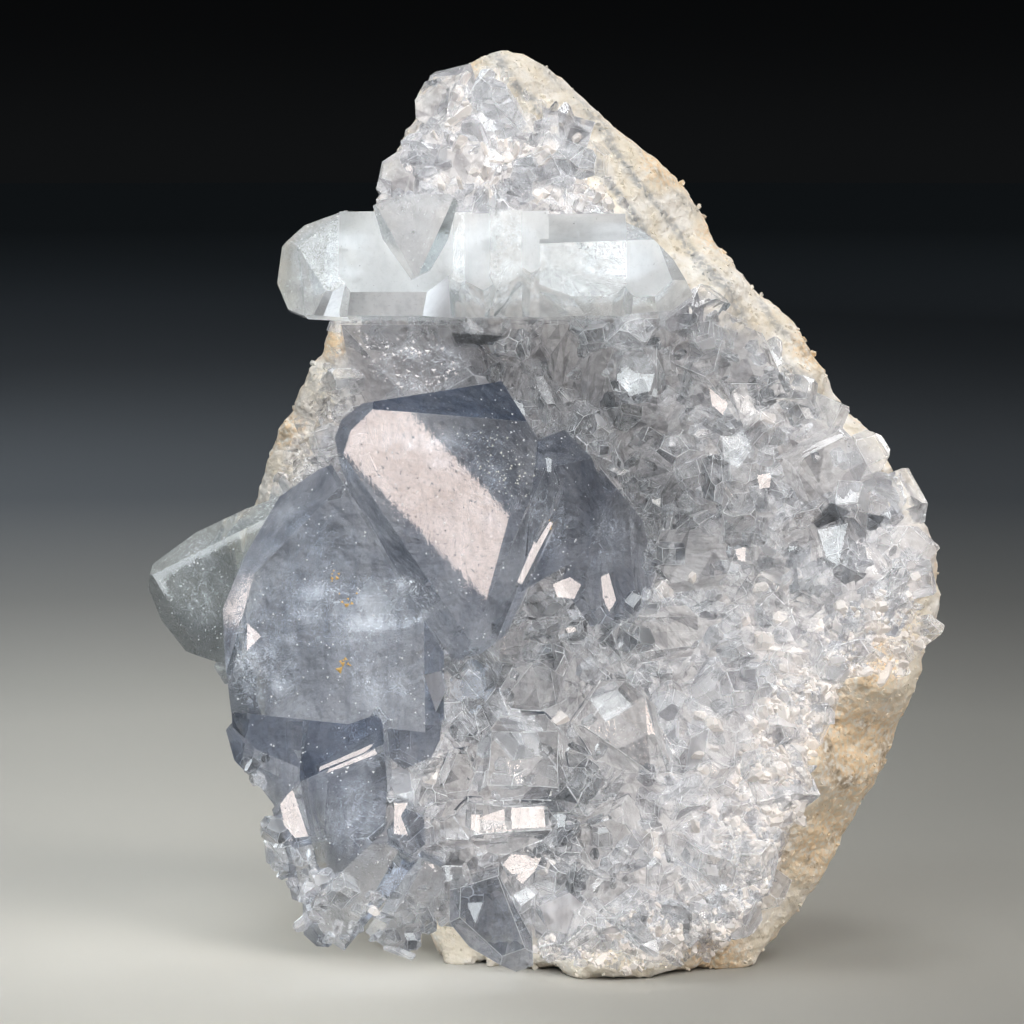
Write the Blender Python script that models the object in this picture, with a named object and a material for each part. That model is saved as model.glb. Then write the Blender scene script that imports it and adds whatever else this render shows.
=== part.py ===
"""Celestite specimen: a broken piece of a geode's wall, with pale blue crystals on its hollow side.

The piece is modelled face on, in millimetres: across (u), up (v) and out towards the viewer (w).
It is then leaned back a little, cut flat where it rests, and moved so that the middle of its base
is the origin. Every solid ends in metres, with +Z up and the crystals facing -Y.
"""

import math
import random
from dataclasses import dataclass

import bmesh
import bpy
from mathutils import Matrix, Vector, noise
from mathutils.bvhtree import BVHTree

MM = 0.001
GAP = 0.3
MERGE_DISTANCES = (0.0005, 0.002, 0.006, 0.015, 0.03)
LEAN = math.radians(6.0)
BLOCK = 160.0

# The wall of the geode, seen face on: its outline, read clockwise from the top, and how much
# larger it is than it looks, because it lies farther back than its crystals.
WALL_CENTRE = (3.4, 43.5)
WALL_SCALE = 1.021
WALL_OUTLINE = [
    (-5.6, 93.2), (-1.6, 92.6), (1.6, 89.6), (3.9, 87.5), (7.9, 83.7), (10.4, 81.7),
    (12.9, 79.2), (15.4, 77.0), (14.6, 75.6), (15.4, 75.0), (18.4, 71.0), (19.4, 70.0),
    (22.4, 67.6), (25.4, 65.9), (26.6, 63.2), (27.6, 60.5), (29.4, 57.8), (31.2, 55.4),
    (33.2, 52.6), (35.4, 49.5), (37.2, 46.6), (38.6, 43.9), (39.3, 41.4), (39.8, 38.4),
    (39.3, 35.4), (38.6, 33.0), (37.2, 30.6), (36.7, 27.4), (35.4, 24.6), (33.9, 20.6),
    (32.2, 17.4), (30.4, 14.4), (28.6, 10.8), (26.9, 8.1), (24.9, 5.4), (22.4, 2.8),
    (19.9, 0.6), (15.4, -5.0), (9.4, -9.0), (1.4, -10.0), (-5.0, -6.5), (-9.6, 1.2),
    (-12.6, 6.8), (-18.6, 10.0), (-22.6, 13.4), (-25.0, 19.5), (-27.6, 27.0), (-29.0, 34.5),
    (-30.0, 42.0), (-29.4, 47.0), (-28.0, 50.6), (-27.8, 53.0), (-25.2, 55.4), (-24.4, 59.0),
    (-22.4, 61.2), (-21.6, 64.0), (-19.8, 69.0), (-17.6, 74.5), (-15.8, 79.0), (-14.4, 83.0),
    (-12.0, 87.0), (-9.6, 90.0), (-7.6, 91.8),
]
WALL_SEGMENTS = 60
FRONT_RINGS = (0.24, 0.45, 0.63, 0.78, 0.9, 1.0)
BACK_RINGS = (0.975, 0.91, 0.79, 0.62, 0.42, 0.2)
BACK_DEPTH = -27.0
BACK_ROUNDNESS = 3.0
BACK_ROUNDING = 5
BACK_LUMPS = ((19.0, 5.0), (8.0, 1.6))
NOISE_STEP = 37.3

# How far the wall stands out towards the viewer, at points chosen over its face: (u, v, w).
EDGE_DEPTHS = [
    (-5.6, 93.0, 0.0), (5.4, 86.0, -3.0), (14.4, 77.0, -4.0), (22.4, 67.8, -4.0),
    (29.2, 58.0, -4.0), (35.4, 49.5, -3.0), (39.4, 41.5, -2.0), (38.6, 33.0, -2.0),
    (35.4, 24.5, -3.0), (30.4, 14.5, -4.0), (24.9, 5.3, -3.0), (19.9, 1.0, -1.0),
    (9.4, -9.0, -1.0), (-5.0, -6.5, -2.0), (-11.6, 7.0, -6.0), (-22.6, 13.5, -8.0),
    (-28.4, 27.5, -10.0), (-30.1, 41.5, -9.0), (-27.8, 53.0, -5.0), (-24.4, 59.0, -4.5),
    (-20.1, 67.5, -4.0), (-16.1, 77.5, -3.0), (-12.1, 85.5, -2.0), (-9.6, 89.5, -1.0),
]
RIDGE_DEPTHS = [
    (-4.6, 88.5, 3.0), (1.4, 83.5, 3.0), (9.4, 75.5, 2.0), (17.4, 66.5, 2.0),
    (24.4, 57.5, 2.0), (30.4, 48.5, 3.0), (33.9, 39.5, 4.0), (32.4, 29.5, 6.0),
    (25.4, 19.5, 8.0), (17.4, 9.5, 8.5), (7.4, 4.5, 8.0),
]
HOLLOW_DEPTHS = [
    (1.4, 62.5, -4.0), (10.4, 55.5, -3.0), (19.4, 49.5, -1.0), (25.4, 40.5, 1.0),
    (7.4, 41.5, -8.0), (15.4, 33.5, 0.0), (5.4, 27.5, -1.0), (13.4, 21.5, 4.0),
    (1.4, 17.5, 3.0), (-4.6, 21.5, -2.0), (-2.6, 33.5, -6.0), (-9.6, 47.5, -8.0),
    (-14.6, 59.5, -8.0), (-20.6, 41.5, -6.0), (-19.6, 27.5, -3.0), (-12.6, 17.5, 1.0),
    (-18.6, 14.5, 2.0), (-7.6, 10.5, 3.0), (-7.6, 71.5, 4.5), (-12.6, 80.5, -1.0),
    (1.4, 72.5, 4.0), (9.4, 68.5, 3.0), (-21.6, 53.5, -6.0),
]
WALL_DEPTHS = EDGE_DEPTHS + RIDGE_DEPTHS + HOLLOW_DEPTHS
DEPTH_REACH_POWER = 3.0

# The crust of small crystals on the wall: its outline, clockwise from the top.
CRUST_OUTLINE = [
    (-9.1, 89.0), (-6.6, 88.5), (-2.6, 85.5), (1.4, 82.5), (5.4, 77.5), (9.4, 72.5),
    (14.4, 68.0), (18.9, 65.0), (22.9, 62.5), (25.4, 59.0), (28.4, 55.5), (32.4, 51.4),
    (35.6, 47.4), (37.4, 43.2), (37.4, 38.5), (35.6, 35.7), (32.4, 33.5), (28.4, 30.5),
    (26.4, 26.5), (24.9, 21.5), (23.9, 16.5), (21.9, 11.5), (18.9, 7.0), (14.4, 4.2),
    (9.4, 3.0), (1.4, 3.2), (-4.6, 4.0), (-9.6, 5.6), (-14.0, 8.4), (-18.2, 11.0),
    (-21.8, 14.4), (-24.4, 20.0), (-27.0, 27.0), (-28.4, 34.0), (-29.0, 41.0), (-27.4, 46.6),
    (-24.6, 50.0), (-21.6, 54.0), (-20.6, 60.0), (-19.4, 66.0), (-17.4, 73.0), (-15.2, 79.0),
    (-13.6, 83.0), (-11.3, 86.6),
]
CRUST_SEGMENTS = 40
CRUST_RINGS = (0.35, 0.7, 1.0)
CRUST_THICKNESS = 2.2
CRUST_EDGE_THICKNESS = 0.9

SMALL_CRYSTAL_COUNT = 150
SMALL_CRYSTAL_TRIES = 12000
SMALL_CRYSTAL_WIDTH = (3.2, 7.2)
SMALL_CRYSTAL_RISE = (2.0, 4.6)
SMALL_CRYSTAL_TILT = 26.0
SMALL_CRYSTAL_SPACING = 0.86
SMALL_CRYSTAL_SEED = 21

COLOURS = {
    "rock": ((0.72, 0.66, 0.58, 1.0), 0.85),
    "crust": ((0.70, 0.74, 0.78, 1.0), 0.25),
    "blue": ((0.36, 0.46, 0.58, 1.0), 0.12),
    "pale": ((0.66, 0.72, 0.76, 1.0), 0.15),
}


@dataclass(frozen=True)
class Crystal:
    """A crystal with flat faces, seen face on.

    at is a point on its front face, and looks is where that face looks: yaw to the right and
    pitch upwards, in degrees. The outline is its silhouette, whose sides run straight back to
    the depth given. Each bevel is a line on the front face and the angle from straight out to
    which the surface turns beyond that line.
    """

    at: tuple
    looks: tuple
    outline: tuple
    bevels: tuple = ()
    back: float = -8.0


MAIN = Crystal(
    at=(-10.0, 45.5, 15.0), looks=(15.0, 8.0),
    outline=((-9.3, 31.8), (-18.6, 46.2), (-20.2, 51.0), (-20.7, 53.5), (-20.1, 55.3),
             (-18.1, 56.9), (-4.4, 59.3), (0.1, 51.9), (-2.8, 44.6), (-8.1, 31.8)),
    bevels=(((-18.0, 56.4), (-3.2, 55.3), 48), ((-19.1, 54.2), (-17.5, 55.8), 50),
            ((-19.8, 51.9), (-19.1, 54.2), 50), ((-19.8, 51.9), (-16.0, 46.3), 60)),
    back=-12.0)
LEFT = Crystal(
    at=(-20.6, 36.0, 19.0), looks=(-8.0, -6.0),
    outline=((-20.5, 51.1), (-17.6, 46.0), (-12.9, 39.0), (-10.0, 33.8), (-10.0, 26.3),
             (-11.7, 25.0), (-31.0, 26.9), (-31.3, 32.0), (-31.8, 36.4), (-29.1, 42.6),
             (-26.1, 47.8), (-22.4, 50.3)),
    bevels=(((-20.0, 48.7), (-28.3, 40.4), 50), ((-28.3, 40.4), (-29.9, 35.0), 42),
            ((-11.9, 36.4), (-11.8, 26.0), 45)),
    back=-12.0)
BLADE = Crystal(
    at=(-3.5, 40.0, 15.8), looks=(-10.0, -4.0),
    outline=((0.4, 51.6), (1.6, 48.3), (-2.2, 38.2), (-4.0, 34.3), (-6.5, 32.4), (-8.3, 32.1)),
    bevels=(((1.1, 48.6), (-2.7, 39.2), 60),))
BLADE_SIDE = Crystal(
    at=(-0.8, 43.9, 15.7), looks=(35.0, -5.0),
    outline=((-0.9, 53.4), (1.8, 54.4), (4.4, 51.7), (6.0, 47.6), (4.8, 43.6), (2.8, 41.6),
             (-2.5, 38.5)),
    bevels=(((0.8, 50.8), (4.4, 51.6), 45),))
RIGHT = Crystal(
    at=(6.0, 43.0, 9.0), looks=(22.0, -8.0),
    outline=((5.4, 50.5), (9.6, 45.5), (11.0, 40.0), (9.4, 36.0), (4.4, 35.0), (1.5, 39.0),
             (3.0, 47.0)),
    bevels=(((8.2, 46.0), (8.8, 37.5), 55),))
CORNER_HIGH = Crystal(
    at=(-27.0, 25.0, 13.5), looks=(-20.0, -8.0),
    outline=((-31.0, 27.6), (-30.9, 25.2), (-28.5, 23.0), (-23.6, 21.0), (-23.7, 28.5)))
CORNER_LOW = Crystal(
    at=(-26.5, 20.5, 12.2), looks=(-32.0, -14.0),
    outline=((-28.6, 23.6), (-29.3, 20.6), (-26.7, 17.2), (-22.0, 16.0), (-21.5, 22.6)),
    back=0.0)
GLINT = Crystal(
    at=(-24.6, 17.0, 15.0), looks=(15.0, 8.0),
    outline=((-26.8, 17.3), (-24.0, 20.4), (-22.6, 19.5), (-22.2, 14.0), (-24.6, 13.5),
             (-26.1, 15.0)),
    back=4.0)
STRIPED = Crystal(
    at=(-19.4, 17.0, 19.5), looks=(0.0, -14.0),
    outline=((-20.7, 28.7), (-18.3, 28.2), (-15.9, 26.1), (-15.4, 19.9), (-15.7, 15.5),
             (-21.9, 9.5), (-23.9, 20.6), (-23.7, 26.8)),
    bevels=(((-22.9, 20.1), (-16.5, 22.2), 8), ((-22.6, 20.8), (-16.7, 23.4), 42)),
    back=4.0)
UNDER_LEFT = Crystal(
    at=(-13.1, 24.0, 13.0), looks=(10.0, -20.0),
    outline=((-15.8, 27.5), (-10.1, 27.5), (-10.5, 23.9), (-11.3, 22.2), (-14.0, 21.0),
             (-15.4, 22.2)))
PRISM_LONG = Crystal(
    at=(-18.5, 9.0, 16.5), looks=(-8.0, -15.0),
    outline=((-17.3, 14.0), (-22.3, 9.1), (-23.1, 8.0), (-22.3, 5.7), (-21.5, 4.4),
             (-19.8, 3.4), (-12.5, 12.4), (-15.6, 14.2)),
    bevels=(((-16.2, 10.3), (-19.0, 5.3), 50), ((-22.0, 8.3), (-20.5, 5.5), 45)),
    back=8.0)
PRISM_SHORT = Crystal(
    at=(-13.6, 7.0, 12.5), looks=(6.0, -22.0),
    outline=((-17.9, 4.8), (-14.6, 2.6), (-13.7, 2.6), (-12.7, 4.0), (-9.9, 8.8),
             (-10.3, 11.5), (-12.6, 12.6)),
    bevels=(((-12.8, 10.5), (-16.0, 5.0), 45), ((-14.4, 3.6), (-12.9, 4.8), 60)),
    back=3.0)
SQUARE = Crystal(
    at=(-13.8, 15.0, 14.5), looks=(12.0, 8.0),
    outline=((-15.7, 15.2), (-13.9, 17.3), (-12.0, 16.6), (-11.9, 13.8), (-13.7, 12.4),
             (-15.3, 13.4)),
    bevels=(((-15.0, 15.2), (-13.8, 16.5), 45), ((-15.0, 15.2), (-13.8, 13.1), 45)),
    back=2.0)
LOWEST_LEFT = Crystal(
    at=(-24.0, 11.0, 11.5), looks=(-20.0, -10.0),
    outline=((-26.1, 14.7), (-25.9, 11.8), (-25.2, 8.0), (-23.6, 7.6), (-20.6, 8.6),
             (-21.0, 15.0)),
    bevels=(((-25.0, 13.0), (-24.2, 8.5), 60),),
    back=4.0)
DROP = Crystal(
    at=(-22.6, 5.6, 12.5), looks=(-30.0, -10.0),
    outline=((-24.0, 8.2), (-23.9, 4.7), (-22.6, 3.6), (-21.4, 3.6), (-20.6, 5.6),
             (-21.5, 8.6)),
    back=8.5)
DROP_HIGH = Crystal(
    at=(-26.9, 13.0, 10.5), looks=(-35.0, 0.0),
    outline=((-27.9, 13.8), (-27.3, 15.0), (-25.8, 14.8), (-25.3, 12.0), (-26.3, 10.9),
             (-27.7, 11.7)),
    back=6.0)
TAB = Crystal(
    at=(-9.8, 5.0, 10.0), looks=(0.0, -20.0),
    outline=((-11.2, 6.4), (-10.9, 4.6), (-10.0, 3.8), (-9.2, 3.9), (-8.5, 4.6), (-8.6, 7.4)),
    back=2.0)
SIDE_PLATE = Crystal(
    at=(-30.4, 24.5, 8.0), looks=(-40.0, 0.0),
    outline=((-31.9, 24.6), (-31.4, 25.2), (-28.9, 24.0), (-28.0, 20.5), (-28.6, 19.4),
             (-31.0, 21.6)),
    back=4.0)

BOTTOM = Crystal(
    at=(-5.6, 7.0, 15.0), looks=(12.0, -12.0),
    outline=((-9.5, 9.4), (-9.5, 6.1), (-7.6, 3.6), (-3.0, 0.9), (-1.3, 1.5), (-1.4, 4.4),
             (-4.7, 10.9), (-7.0, 10.2)),
    bevels=(((-8.4, 9.9), (-8.5, 6.8), 50), ((-8.5, 6.8), (-3.5, 2.0), 50),
            ((-4.5, 10.0), (-1.9, 3.0), 60), ((-3.2, 3.2), (-1.4, 3.8), 55)),
    back=-4.0)
SIDE = Crystal(
    at=(-34.6, 38.5, -1.0), looks=(-20.0, 0.0),
    outline=((-40.6, 38.6), (-40.1, 41.0), (-35.7, 44.2), (-30.5, 46.6), (-26.0, 48.2),
             (-26.0, 30.6), (-33.0, 31.0), (-36.6, 32.1), (-39.2, 35.2)),
    bevels=(((-39.2, 40.3), (-30.0, 44.8), 55), ((-39.1, 38.4), (-36.0, 33.4), 50)),
    back=-14.0)
SIDE_GRAIN = Crystal(
    at=(-32.4, 30.5, -1.5), looks=(-10.0, -10.0),
    outline=((-33.7, 30.6), (-32.8, 32.4), (-30.0, 32.6), (-29.6, 29.0), (-32.6, 28.8)),
    back=-9.0)
SMOKY = Crystal(
    at=(-12.0, 61.5, 2.0), looks=(5.0, -20.0),
    outline=((-22.4, 65.1), (-9.0, 65.1), (-6.5, 62.5), (-5.5, 59.0), (-8.0, 56.0),
             (-18.9, 54.8), (-19.8, 60.5)),
    bevels=(((-20.1, 64.7), (-14.0, 57.8), 50),),
    back=-12.0)

# The bar across the top is a row of crystals side by side. Each has a face that ends in a lower
# edge with slanted corners: (left, left corner, right corner, right, corner height, edge height,
# how far it stands out).
BAR_SECTIONS = [
    (-26.7, -21.6, -20.9, -19.6, 68.6, 67.9, 0.00), (-20.4, -19.2, -11.7, -9.2, 69.7, 67.8, 0.10),
    (-10.0, -8.6, -8.4, -7.3, 69.5, 68.7, -0.05), (-8.0, -6.3, -6.1, -4.7, 68.9, 68.0, 0.05),
    (-5.6, -4.9, -4.6, -2.4, 69.6, 68.0, 0.25), (-3.0, -1.6, -1.4, 0.2, 70.7, 69.7, 0.00),
    (-0.7, 2.4, 6.5, 7.8, 68.5, 67.3, 0.50), (7.1, 8.4, 10.5, 14.4, 68.9, 67.3, 0.45),
]
BAR_TOP = 76.0
BAR_UNDERSIDE = 65.5
BAR_FACE = (-7.6, 71.5, 13.5)
BAR_LOOKS = (-3.0, 20.0)
BAR_BACK = 2.0
BAR_LEFT_END = ((-26.7, 69.0), (-26.1, 72.5), (-23.9, 74.6), (-19.9, 76.0))
BAR_RIGHT_END = ((5.6, 76.0), (9.4, 74.0), (12.4, 71.0), (14.4, 67.6), (12.2, 66.0))
WEDGE = Crystal(
    at=(-12.8, 74.0, 15.4), looks=(5.0, 10.0),
    outline=((-17.0, 76.2), (-14.3, 77.3), (-9.5, 77.4), (-8.7, 76.7), (-9.7, 72.9),
             (-11.4, 69.9), (-13.2, 69.0), (-16.1, 73.1)),
    bevels=(((-16.6, 76.2), (-13.4, 70.2), 60), ((-9.9, 75.2), (-11.6, 71.4), 55)),
    back=2.6)

# The largest of the crystals that belong to the crust.
CRUST_CRYSTALS = [
    Crystal(at=(-4.0, 15.5, 12.0), looks=(13.0, 6.0),
            outline=((-9.3, 16.2), (-7.9, 17.8), (0.1, 17.2), (1.2, 15.7), (-0.3, 13.8),
                     (-4.5, 12.1), (-7.0, 13.2)),
            bevels=(((-7.4, 14.6), (-0.3, 14.9), 50), ((-7.0, 17.0), (-7.2, 14.4), 50))),
    Crystal(at=(-2.3, 22.0, 9.5), looks=(10.0, 5.0),
            outline=((-7.4, 19.5), (-6.9, 23.2), (-4.6, 26.1), (-0.1, 26.2), (2.6, 23.5),
                     (2.8, 19.9), (0.5, 17.6), (-6.2, 17.6)),
            bevels=(((-5.8, 20.0), (-5.5, 23.5), 50), ((-4.5, 24.6), (0.5, 24.6), 50),
                    ((1.2, 23.0), (1.2, 19.5), 55), ((-5.5, 19.3), (1.0, 19.0), 50))),
    Crystal(at=(7.8, 25.0, 9.0), looks=(12.0, 12.0),
            outline=((2.4, 25.2), (5.4, 29.6), (8.1, 29.5), (11.0, 27.0), (13.1, 23.0),
                     (12.4, 20.5), (7.6, 20.3), (4.6, 22.0)),
            bevels=(((3.9, 25.5), (6.6, 28.3), 50), ((4.4, 24.6), (9.0, 21.4), 50),
                    ((10.4, 26.0), (11.6, 22.0), 55))),
    Crystal(at=(-1.2, 29.0, 7.5), looks=(-12.0, 8.0),
            outline=((-4.7, 28.5), (-3.4, 30.8), (-0.5, 31.4), (1.8, 29.8), (2.0, 27.6),
                     (-0.6, 26.5), (-3.5, 26.6)),
            bevels=(((-3.6, 28.5), (-2.4, 30.0), 50), ((0.6, 30.0), (1.0, 27.5), 50))),
    Crystal(at=(-8.8, 20.3, 11.0), looks=(-8.0, 4.0),
            outline=((-10.6, 20.5), (-9.8, 22.4), (-7.8, 22.7), (-7.0, 20.5), (-8.0, 17.9),
                     (-9.6, 17.8)),
            bevels=(((-9.8, 20.3), (-9.2, 21.7), 50), ((-9.4, 18.6), (-8.0, 18.8), 50))),
    Crystal(at=(9.0, 61.0, 6.5), looks=(-3.0, 22.0),
            outline=((6.0, 60.4), (7.2, 63.8), (9.6, 64.6), (11.6, 62.0), (12.0, 58.6),
                     (9.8, 56.8), (7.0, 57.4)),
            bevels=(((7.2, 58.3), (10.2, 57.9), 55), ((11.0, 61.4), (11.0, 59.0), 55))),
    Crystal(at=(20.0, 62.4, 3.5), looks=(-8.0, 10.0),
            outline=((16.3, 62.9), (19.2, 65.3), (21.7, 64.2), (23.8, 59.2), (17.8, 59.2)),
            bevels=(((17.2, 62.0), (19.2, 64.2), 50),)),
    Crystal(at=(12.2, 34.2, 7.5), looks=(20.0, 2.0),
            outline=((8.1, 34.6), (9.6, 36.8), (14.0, 37.0), (16.2, 34.8), (14.5, 31.8),
                     (9.5, 31.2)),
            bevels=(((9.4, 35.9), (14.2, 35.9), 50), ((9.6, 32.4), (14.2, 32.9), 55))),
    Crystal(at=(14.4, 42.0, 5.5), looks=(-15.0, 15.0),
            outline=((10.4, 41.0), (11.6, 44.4), (15.6, 44.9), (18.9, 42.4), (17.6, 39.0),
                     (13.0, 38.2)),
            bevels=(((11.6, 41.4), (12.6, 43.4), 55), ((13.2, 39.3), (17.2, 40.0), 50))),
    Crystal(at=(28.9, 44.2, 6.0), looks=(15.0, 8.0),
            outline=((26.2, 44.6), (27.4, 47.4), (30.6, 47.6), (33.4, 44.0), (31.4, 40.6),
                     (27.6, 41.0)),
            bevels=(((27.2, 45.8), (31.6, 46.2), 60), ((30.2, 45.6), (30.6, 41.4), 60))),
    Crystal(at=(-11.4, 87.0, 6.0), looks=(-25.0, 5.0),
            outline=((-13.1, 87.5), (-12.1, 89.3), (-10.6, 89.6), (-9.6, 88.5), (-9.9, 86.0),
                     (-11.4, 84.5), (-13.0, 85.7)), back=-4.0),
    Crystal(at=(-5.2, 86.8, 6.2), looks=(0.0, 15.0),
            outline=((-7.2, 86.5), (-6.6, 88.8), (-4.6, 88.9), (-3.2, 87.0), (-3.6, 84.5),
                     (-6.0, 84.2)), back=-4.0),
    Crystal(at=(-3.0, 78.0, 8.5), looks=(8.0, 4.0),
            outline=((-4.6, 77.8), (-4.4, 80.6), (-1.6, 80.9), (-1.9, 77.0), (-3.2, 76.4)),
            back=-3.0),
    Crystal(at=(-14.0, 80.5, 5.5), looks=(-20.0, 10.0),
            outline=((-17.0, 78.6), (-16.4, 81.4), (-13.8, 83.2), (-11.6, 81.8), (-11.8, 78.4),
                     (-14.2, 77.0)),
            bevels=(((-15.4, 81.4), (-13.0, 82.2), 50), ((-13.0, 80.5), (-13.2, 78.5), 55)),
            back=-5.0),
    Crystal(at=(-8.6, 81.6, 7.0), looks=(10.0, 14.0),
            outline=((-11.2, 80.8), (-10.2, 83.8), (-7.2, 84.2), (-5.8, 81.6), (-7.4, 79.0),
                     (-10.0, 78.8)),
            bevels=(((-9.8, 82.6), (-7.2, 82.9), 50), ((-7.2, 82.0), (-7.8, 79.8), 55)),
            back=-4.0),
]

# Crystals that overlap have grown together, and are one solid.
LARGE_CRYSTALS = [
    ("blue_crystal_group", "blue",
     [MAIN, LEFT, BLADE, BLADE_SIDE, RIGHT, CORNER_HIGH, CORNER_LOW, GLINT, STRIPED, UNDER_LEFT,
      PRISM_LONG, PRISM_SHORT, SQUARE, LOWEST_LEFT, DROP, DROP_HIGH, TAB, SIDE_PLATE]),
    ("bar_crystal", "pale", None),
    ("bottom_blue_crystal", "blue", [BOTTOM]),
    ("side_crystal", "pale", [SIDE, SIDE_GRAIN]),
    ("smoky_crystal", "blue", [SMOKY]),
]


def clear_scene():
    for obj in list(bpy.data.objects):
        bpy.data.objects.remove(obj, do_unlink=True)


def outline_radius(outline, centre, angle):
    """How far the closed outline lies from the centre, in one direction."""
    direction = Vector((math.cos(angle), math.sin(angle)))
    middle = Vector(centre)
    best = 0.0
    for start, end in zip(outline, outline[1:] + outline[:1]):
        a, b = Vector(start) - middle, Vector(end) - middle
        along = b - a
        cross = direction.x * along.y - direction.y * along.x
        if abs(cross) < 1e-9:
            continue
        reach = (a.x * along.y - a.y * along.x) / cross
        share = (a.x * direction.y - a.y * direction.x) / cross
        if reach > 0 and -1e-9 <= share <= 1 + 1e-9:
            best = max(best, reach)
    return best


def wall_depth(u, v):
    """How far the wall's face stands out at (u, v): a blend of the depths chosen round it."""
    total = weight_sum = 0.0
    for mark_u, mark_v, depth in WALL_DEPTHS:
        distance = math.hypot(u - mark_u, v - mark_v) + 0.5
        weight = distance ** -DEPTH_REACH_POWER
        total += weight * depth
        weight_sum += weight
    return total / weight_sum


def roughness(u, v, w, scale):
    """Broken stone: lumps of two sizes, in millimetres."""
    point = Vector((u, v, w))
    return noise.noise(point / scale) + 0.5 * noise.noise(point / (0.4 * scale))


def drift(point):
    """A smooth, random shift of a point, the same each time the piece is made."""
    return Vector([noise.noise(point + Vector((NOISE_STEP * k, 0, 0))) for k in range(3)])


def rounded(values, reach):
    """Each value of a closed ring averaged with its neighbours."""
    count = len(values)
    span = range(-reach, reach + 1)
    return [sum(values[(k + step) % count] for step in span) / len(span) for k in range(count)]


def wall_mesh(swell=0.0):
    """The wall as a closed shell of rings: its face, its outline and its domed, lumpy back.

    swell moves the whole surface outwards, to make a cutter that leaves a gap.
    """
    bm = bmesh.new()
    angles = [2 * math.pi * k / WALL_SEGMENTS for k in range(WALL_SEGMENTS)]
    radii = [WALL_SCALE * outline_radius(WALL_OUTLINE, WALL_CENTRE, a) for a in angles]
    soft_radii = rounded(radii, BACK_ROUNDING)

    def across(angle, radius, share):
        return (WALL_CENTRE[0] + share * radius * math.cos(angle),
                WALL_CENTRE[1] + share * radius * math.sin(angle))

    def on_face(angle, radius, share):
        u, v = across(angle, radius, share)
        edge = share ** 6
        lumps = 0.55 * roughness(u, v, 0.0, 6.0) * (1 - edge) + 0.5 * roughness(u, v, 9.0, 5.0) * edge
        return bm.verts.new((u, v, wall_depth(u, v) + lumps))

    def on_back(angle, radius, soft, share):
        u, v = across(angle, radius + (soft - radius) * (1 - share ** 4), share)
        fall = (1 - share ** BACK_ROUNDNESS) ** 0.55
        rim = wall_depth(*across(angle, radius, 1.0))
        point = Vector((u, v, rim + (BACK_DEPTH - rim) * fall))
        for size, height in BACK_LUMPS:
            point += drift(point / size) * height * min(1.0, 1.6 * fall)
        return bm.verts.new(point)

    first = on_face(0.0, 0.0, 0.0)
    rings = [[on_face(a, r, share) for a, r in zip(angles, radii)] for share in FRONT_RINGS]
    for share in BACK_RINGS:
        rings.append([on_back(a, r, soft, share) for a, r, soft in zip(angles, radii, soft_radii)])
    last = on_back(0.0, 0.0, 0.0, 0.0)
    join_rings(bm, first, rings, last)
    bm.normal_update()
    for vert in bm.verts:
        vert.co += vert.normal * swell
    return bm


def join_rings(bm, first, rings, last):
    """Skins a stack of closed rings, with a point at each end, into a closed shell facing out."""
    count = len(rings[0])
    for k in range(count):
        after = (k + 1) % count
        bm.faces.new((first, rings[0][k], rings[0][after]))
        for inner, outer in zip(rings, rings[1:]):
            bm.faces.new((inner[k], outer[k], outer[after], inner[after]))
        bm.faces.new((rings[-1][k], last, rings[-1][after]))
    bmesh.ops.triangulate(bm, faces=bm.faces)
    bmesh.ops.recalc_face_normals(bm, faces=bm.faces)


def wall_surface():
    """Tells how far the finished wall stands out at (u, v)."""
    bm = wall_mesh()
    tree = BVHTree.FromBMesh(bm)
    bm.free()

    def surface(u, v):
        found = tree.ray_cast(Vector((u, v, BLOCK)), Vector((0, 0, -1)))[0]
        return found.z if found else wall_depth(u, v)

    return surface


def crust_mesh(surface):
    """The layer that the small crystals stand on. Its back goes into the wall, which is cut away."""
    bm = bmesh.new()
    angles = [2 * math.pi * k / CRUST_SEGMENTS for k in range(CRUST_SEGMENTS)]
    radii = [outline_radius(CRUST_OUTLINE, WALL_CENTRE, a) for a in angles]

    def layer(height_at):
        rings = []
        for share in CRUST_RINGS:
            ring = []
            for angle, radius in zip(angles, radii):
                u = WALL_CENTRE[0] + share * radius * math.cos(angle)
                v = WALL_CENTRE[1] + share * radius * math.sin(angle)
                ring.append(bm.verts.new((u, v, surface(u, v) + height_at(u, v, share))))
            rings.append(ring)
        return rings

    def top(u, v, share):
        full = CRUST_THICKNESS + 0.5 * roughness(u, v, 4.0, 3.0)
        return full + (CRUST_EDGE_THICKNESS - full) * share ** 6

    def under(u, v, share):
        return -2.5

    centre_u, centre_v = WALL_CENTRE
    middle = surface(centre_u, centre_v)
    first = bm.verts.new((centre_u, centre_v, middle + top(centre_u, centre_v, 0.0)))
    last = bm.verts.new((centre_u, centre_v, middle + under(centre_u, centre_v, 0.0)))
    join_rings(bm, first, layer(top) + layer(under)[::-1], last)
    return bm


def direction(yaw, pitch):
    """A unit vector turned right by yaw and up by pitch, in degrees, from straight out."""
    yaw, pitch = math.radians(yaw), math.radians(pitch)
    return Vector((math.sin(yaw) * math.cos(pitch), math.sin(pitch), math.cos(yaw) * math.cos(pitch)))


def cut_block(planes, centre):
    """A closed solid: a block round the centre, cut by each plane (point, outward normal)."""
    bm = bmesh.new()
    bmesh.ops.create_cube(bm, size=BLOCK, matrix=Matrix.Translation(centre))
    for point, normal in planes:
        everything = bm.verts[:] + bm.edges[:] + bm.faces[:]
        cut = bmesh.ops.bisect_plane(bm, geom=everything, dist=1e-4, plane_co=point,
                                     plane_no=normal, clear_outer=True)
        edges = [e for e in cut["geom_cut"] if isinstance(e, bmesh.types.BMEdge)]
        if edges:
            bmesh.ops.contextual_create(bm, geom=edges)
    bmesh.ops.recalc_face_normals(bm, faces=bm.faces)
    return bm


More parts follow.
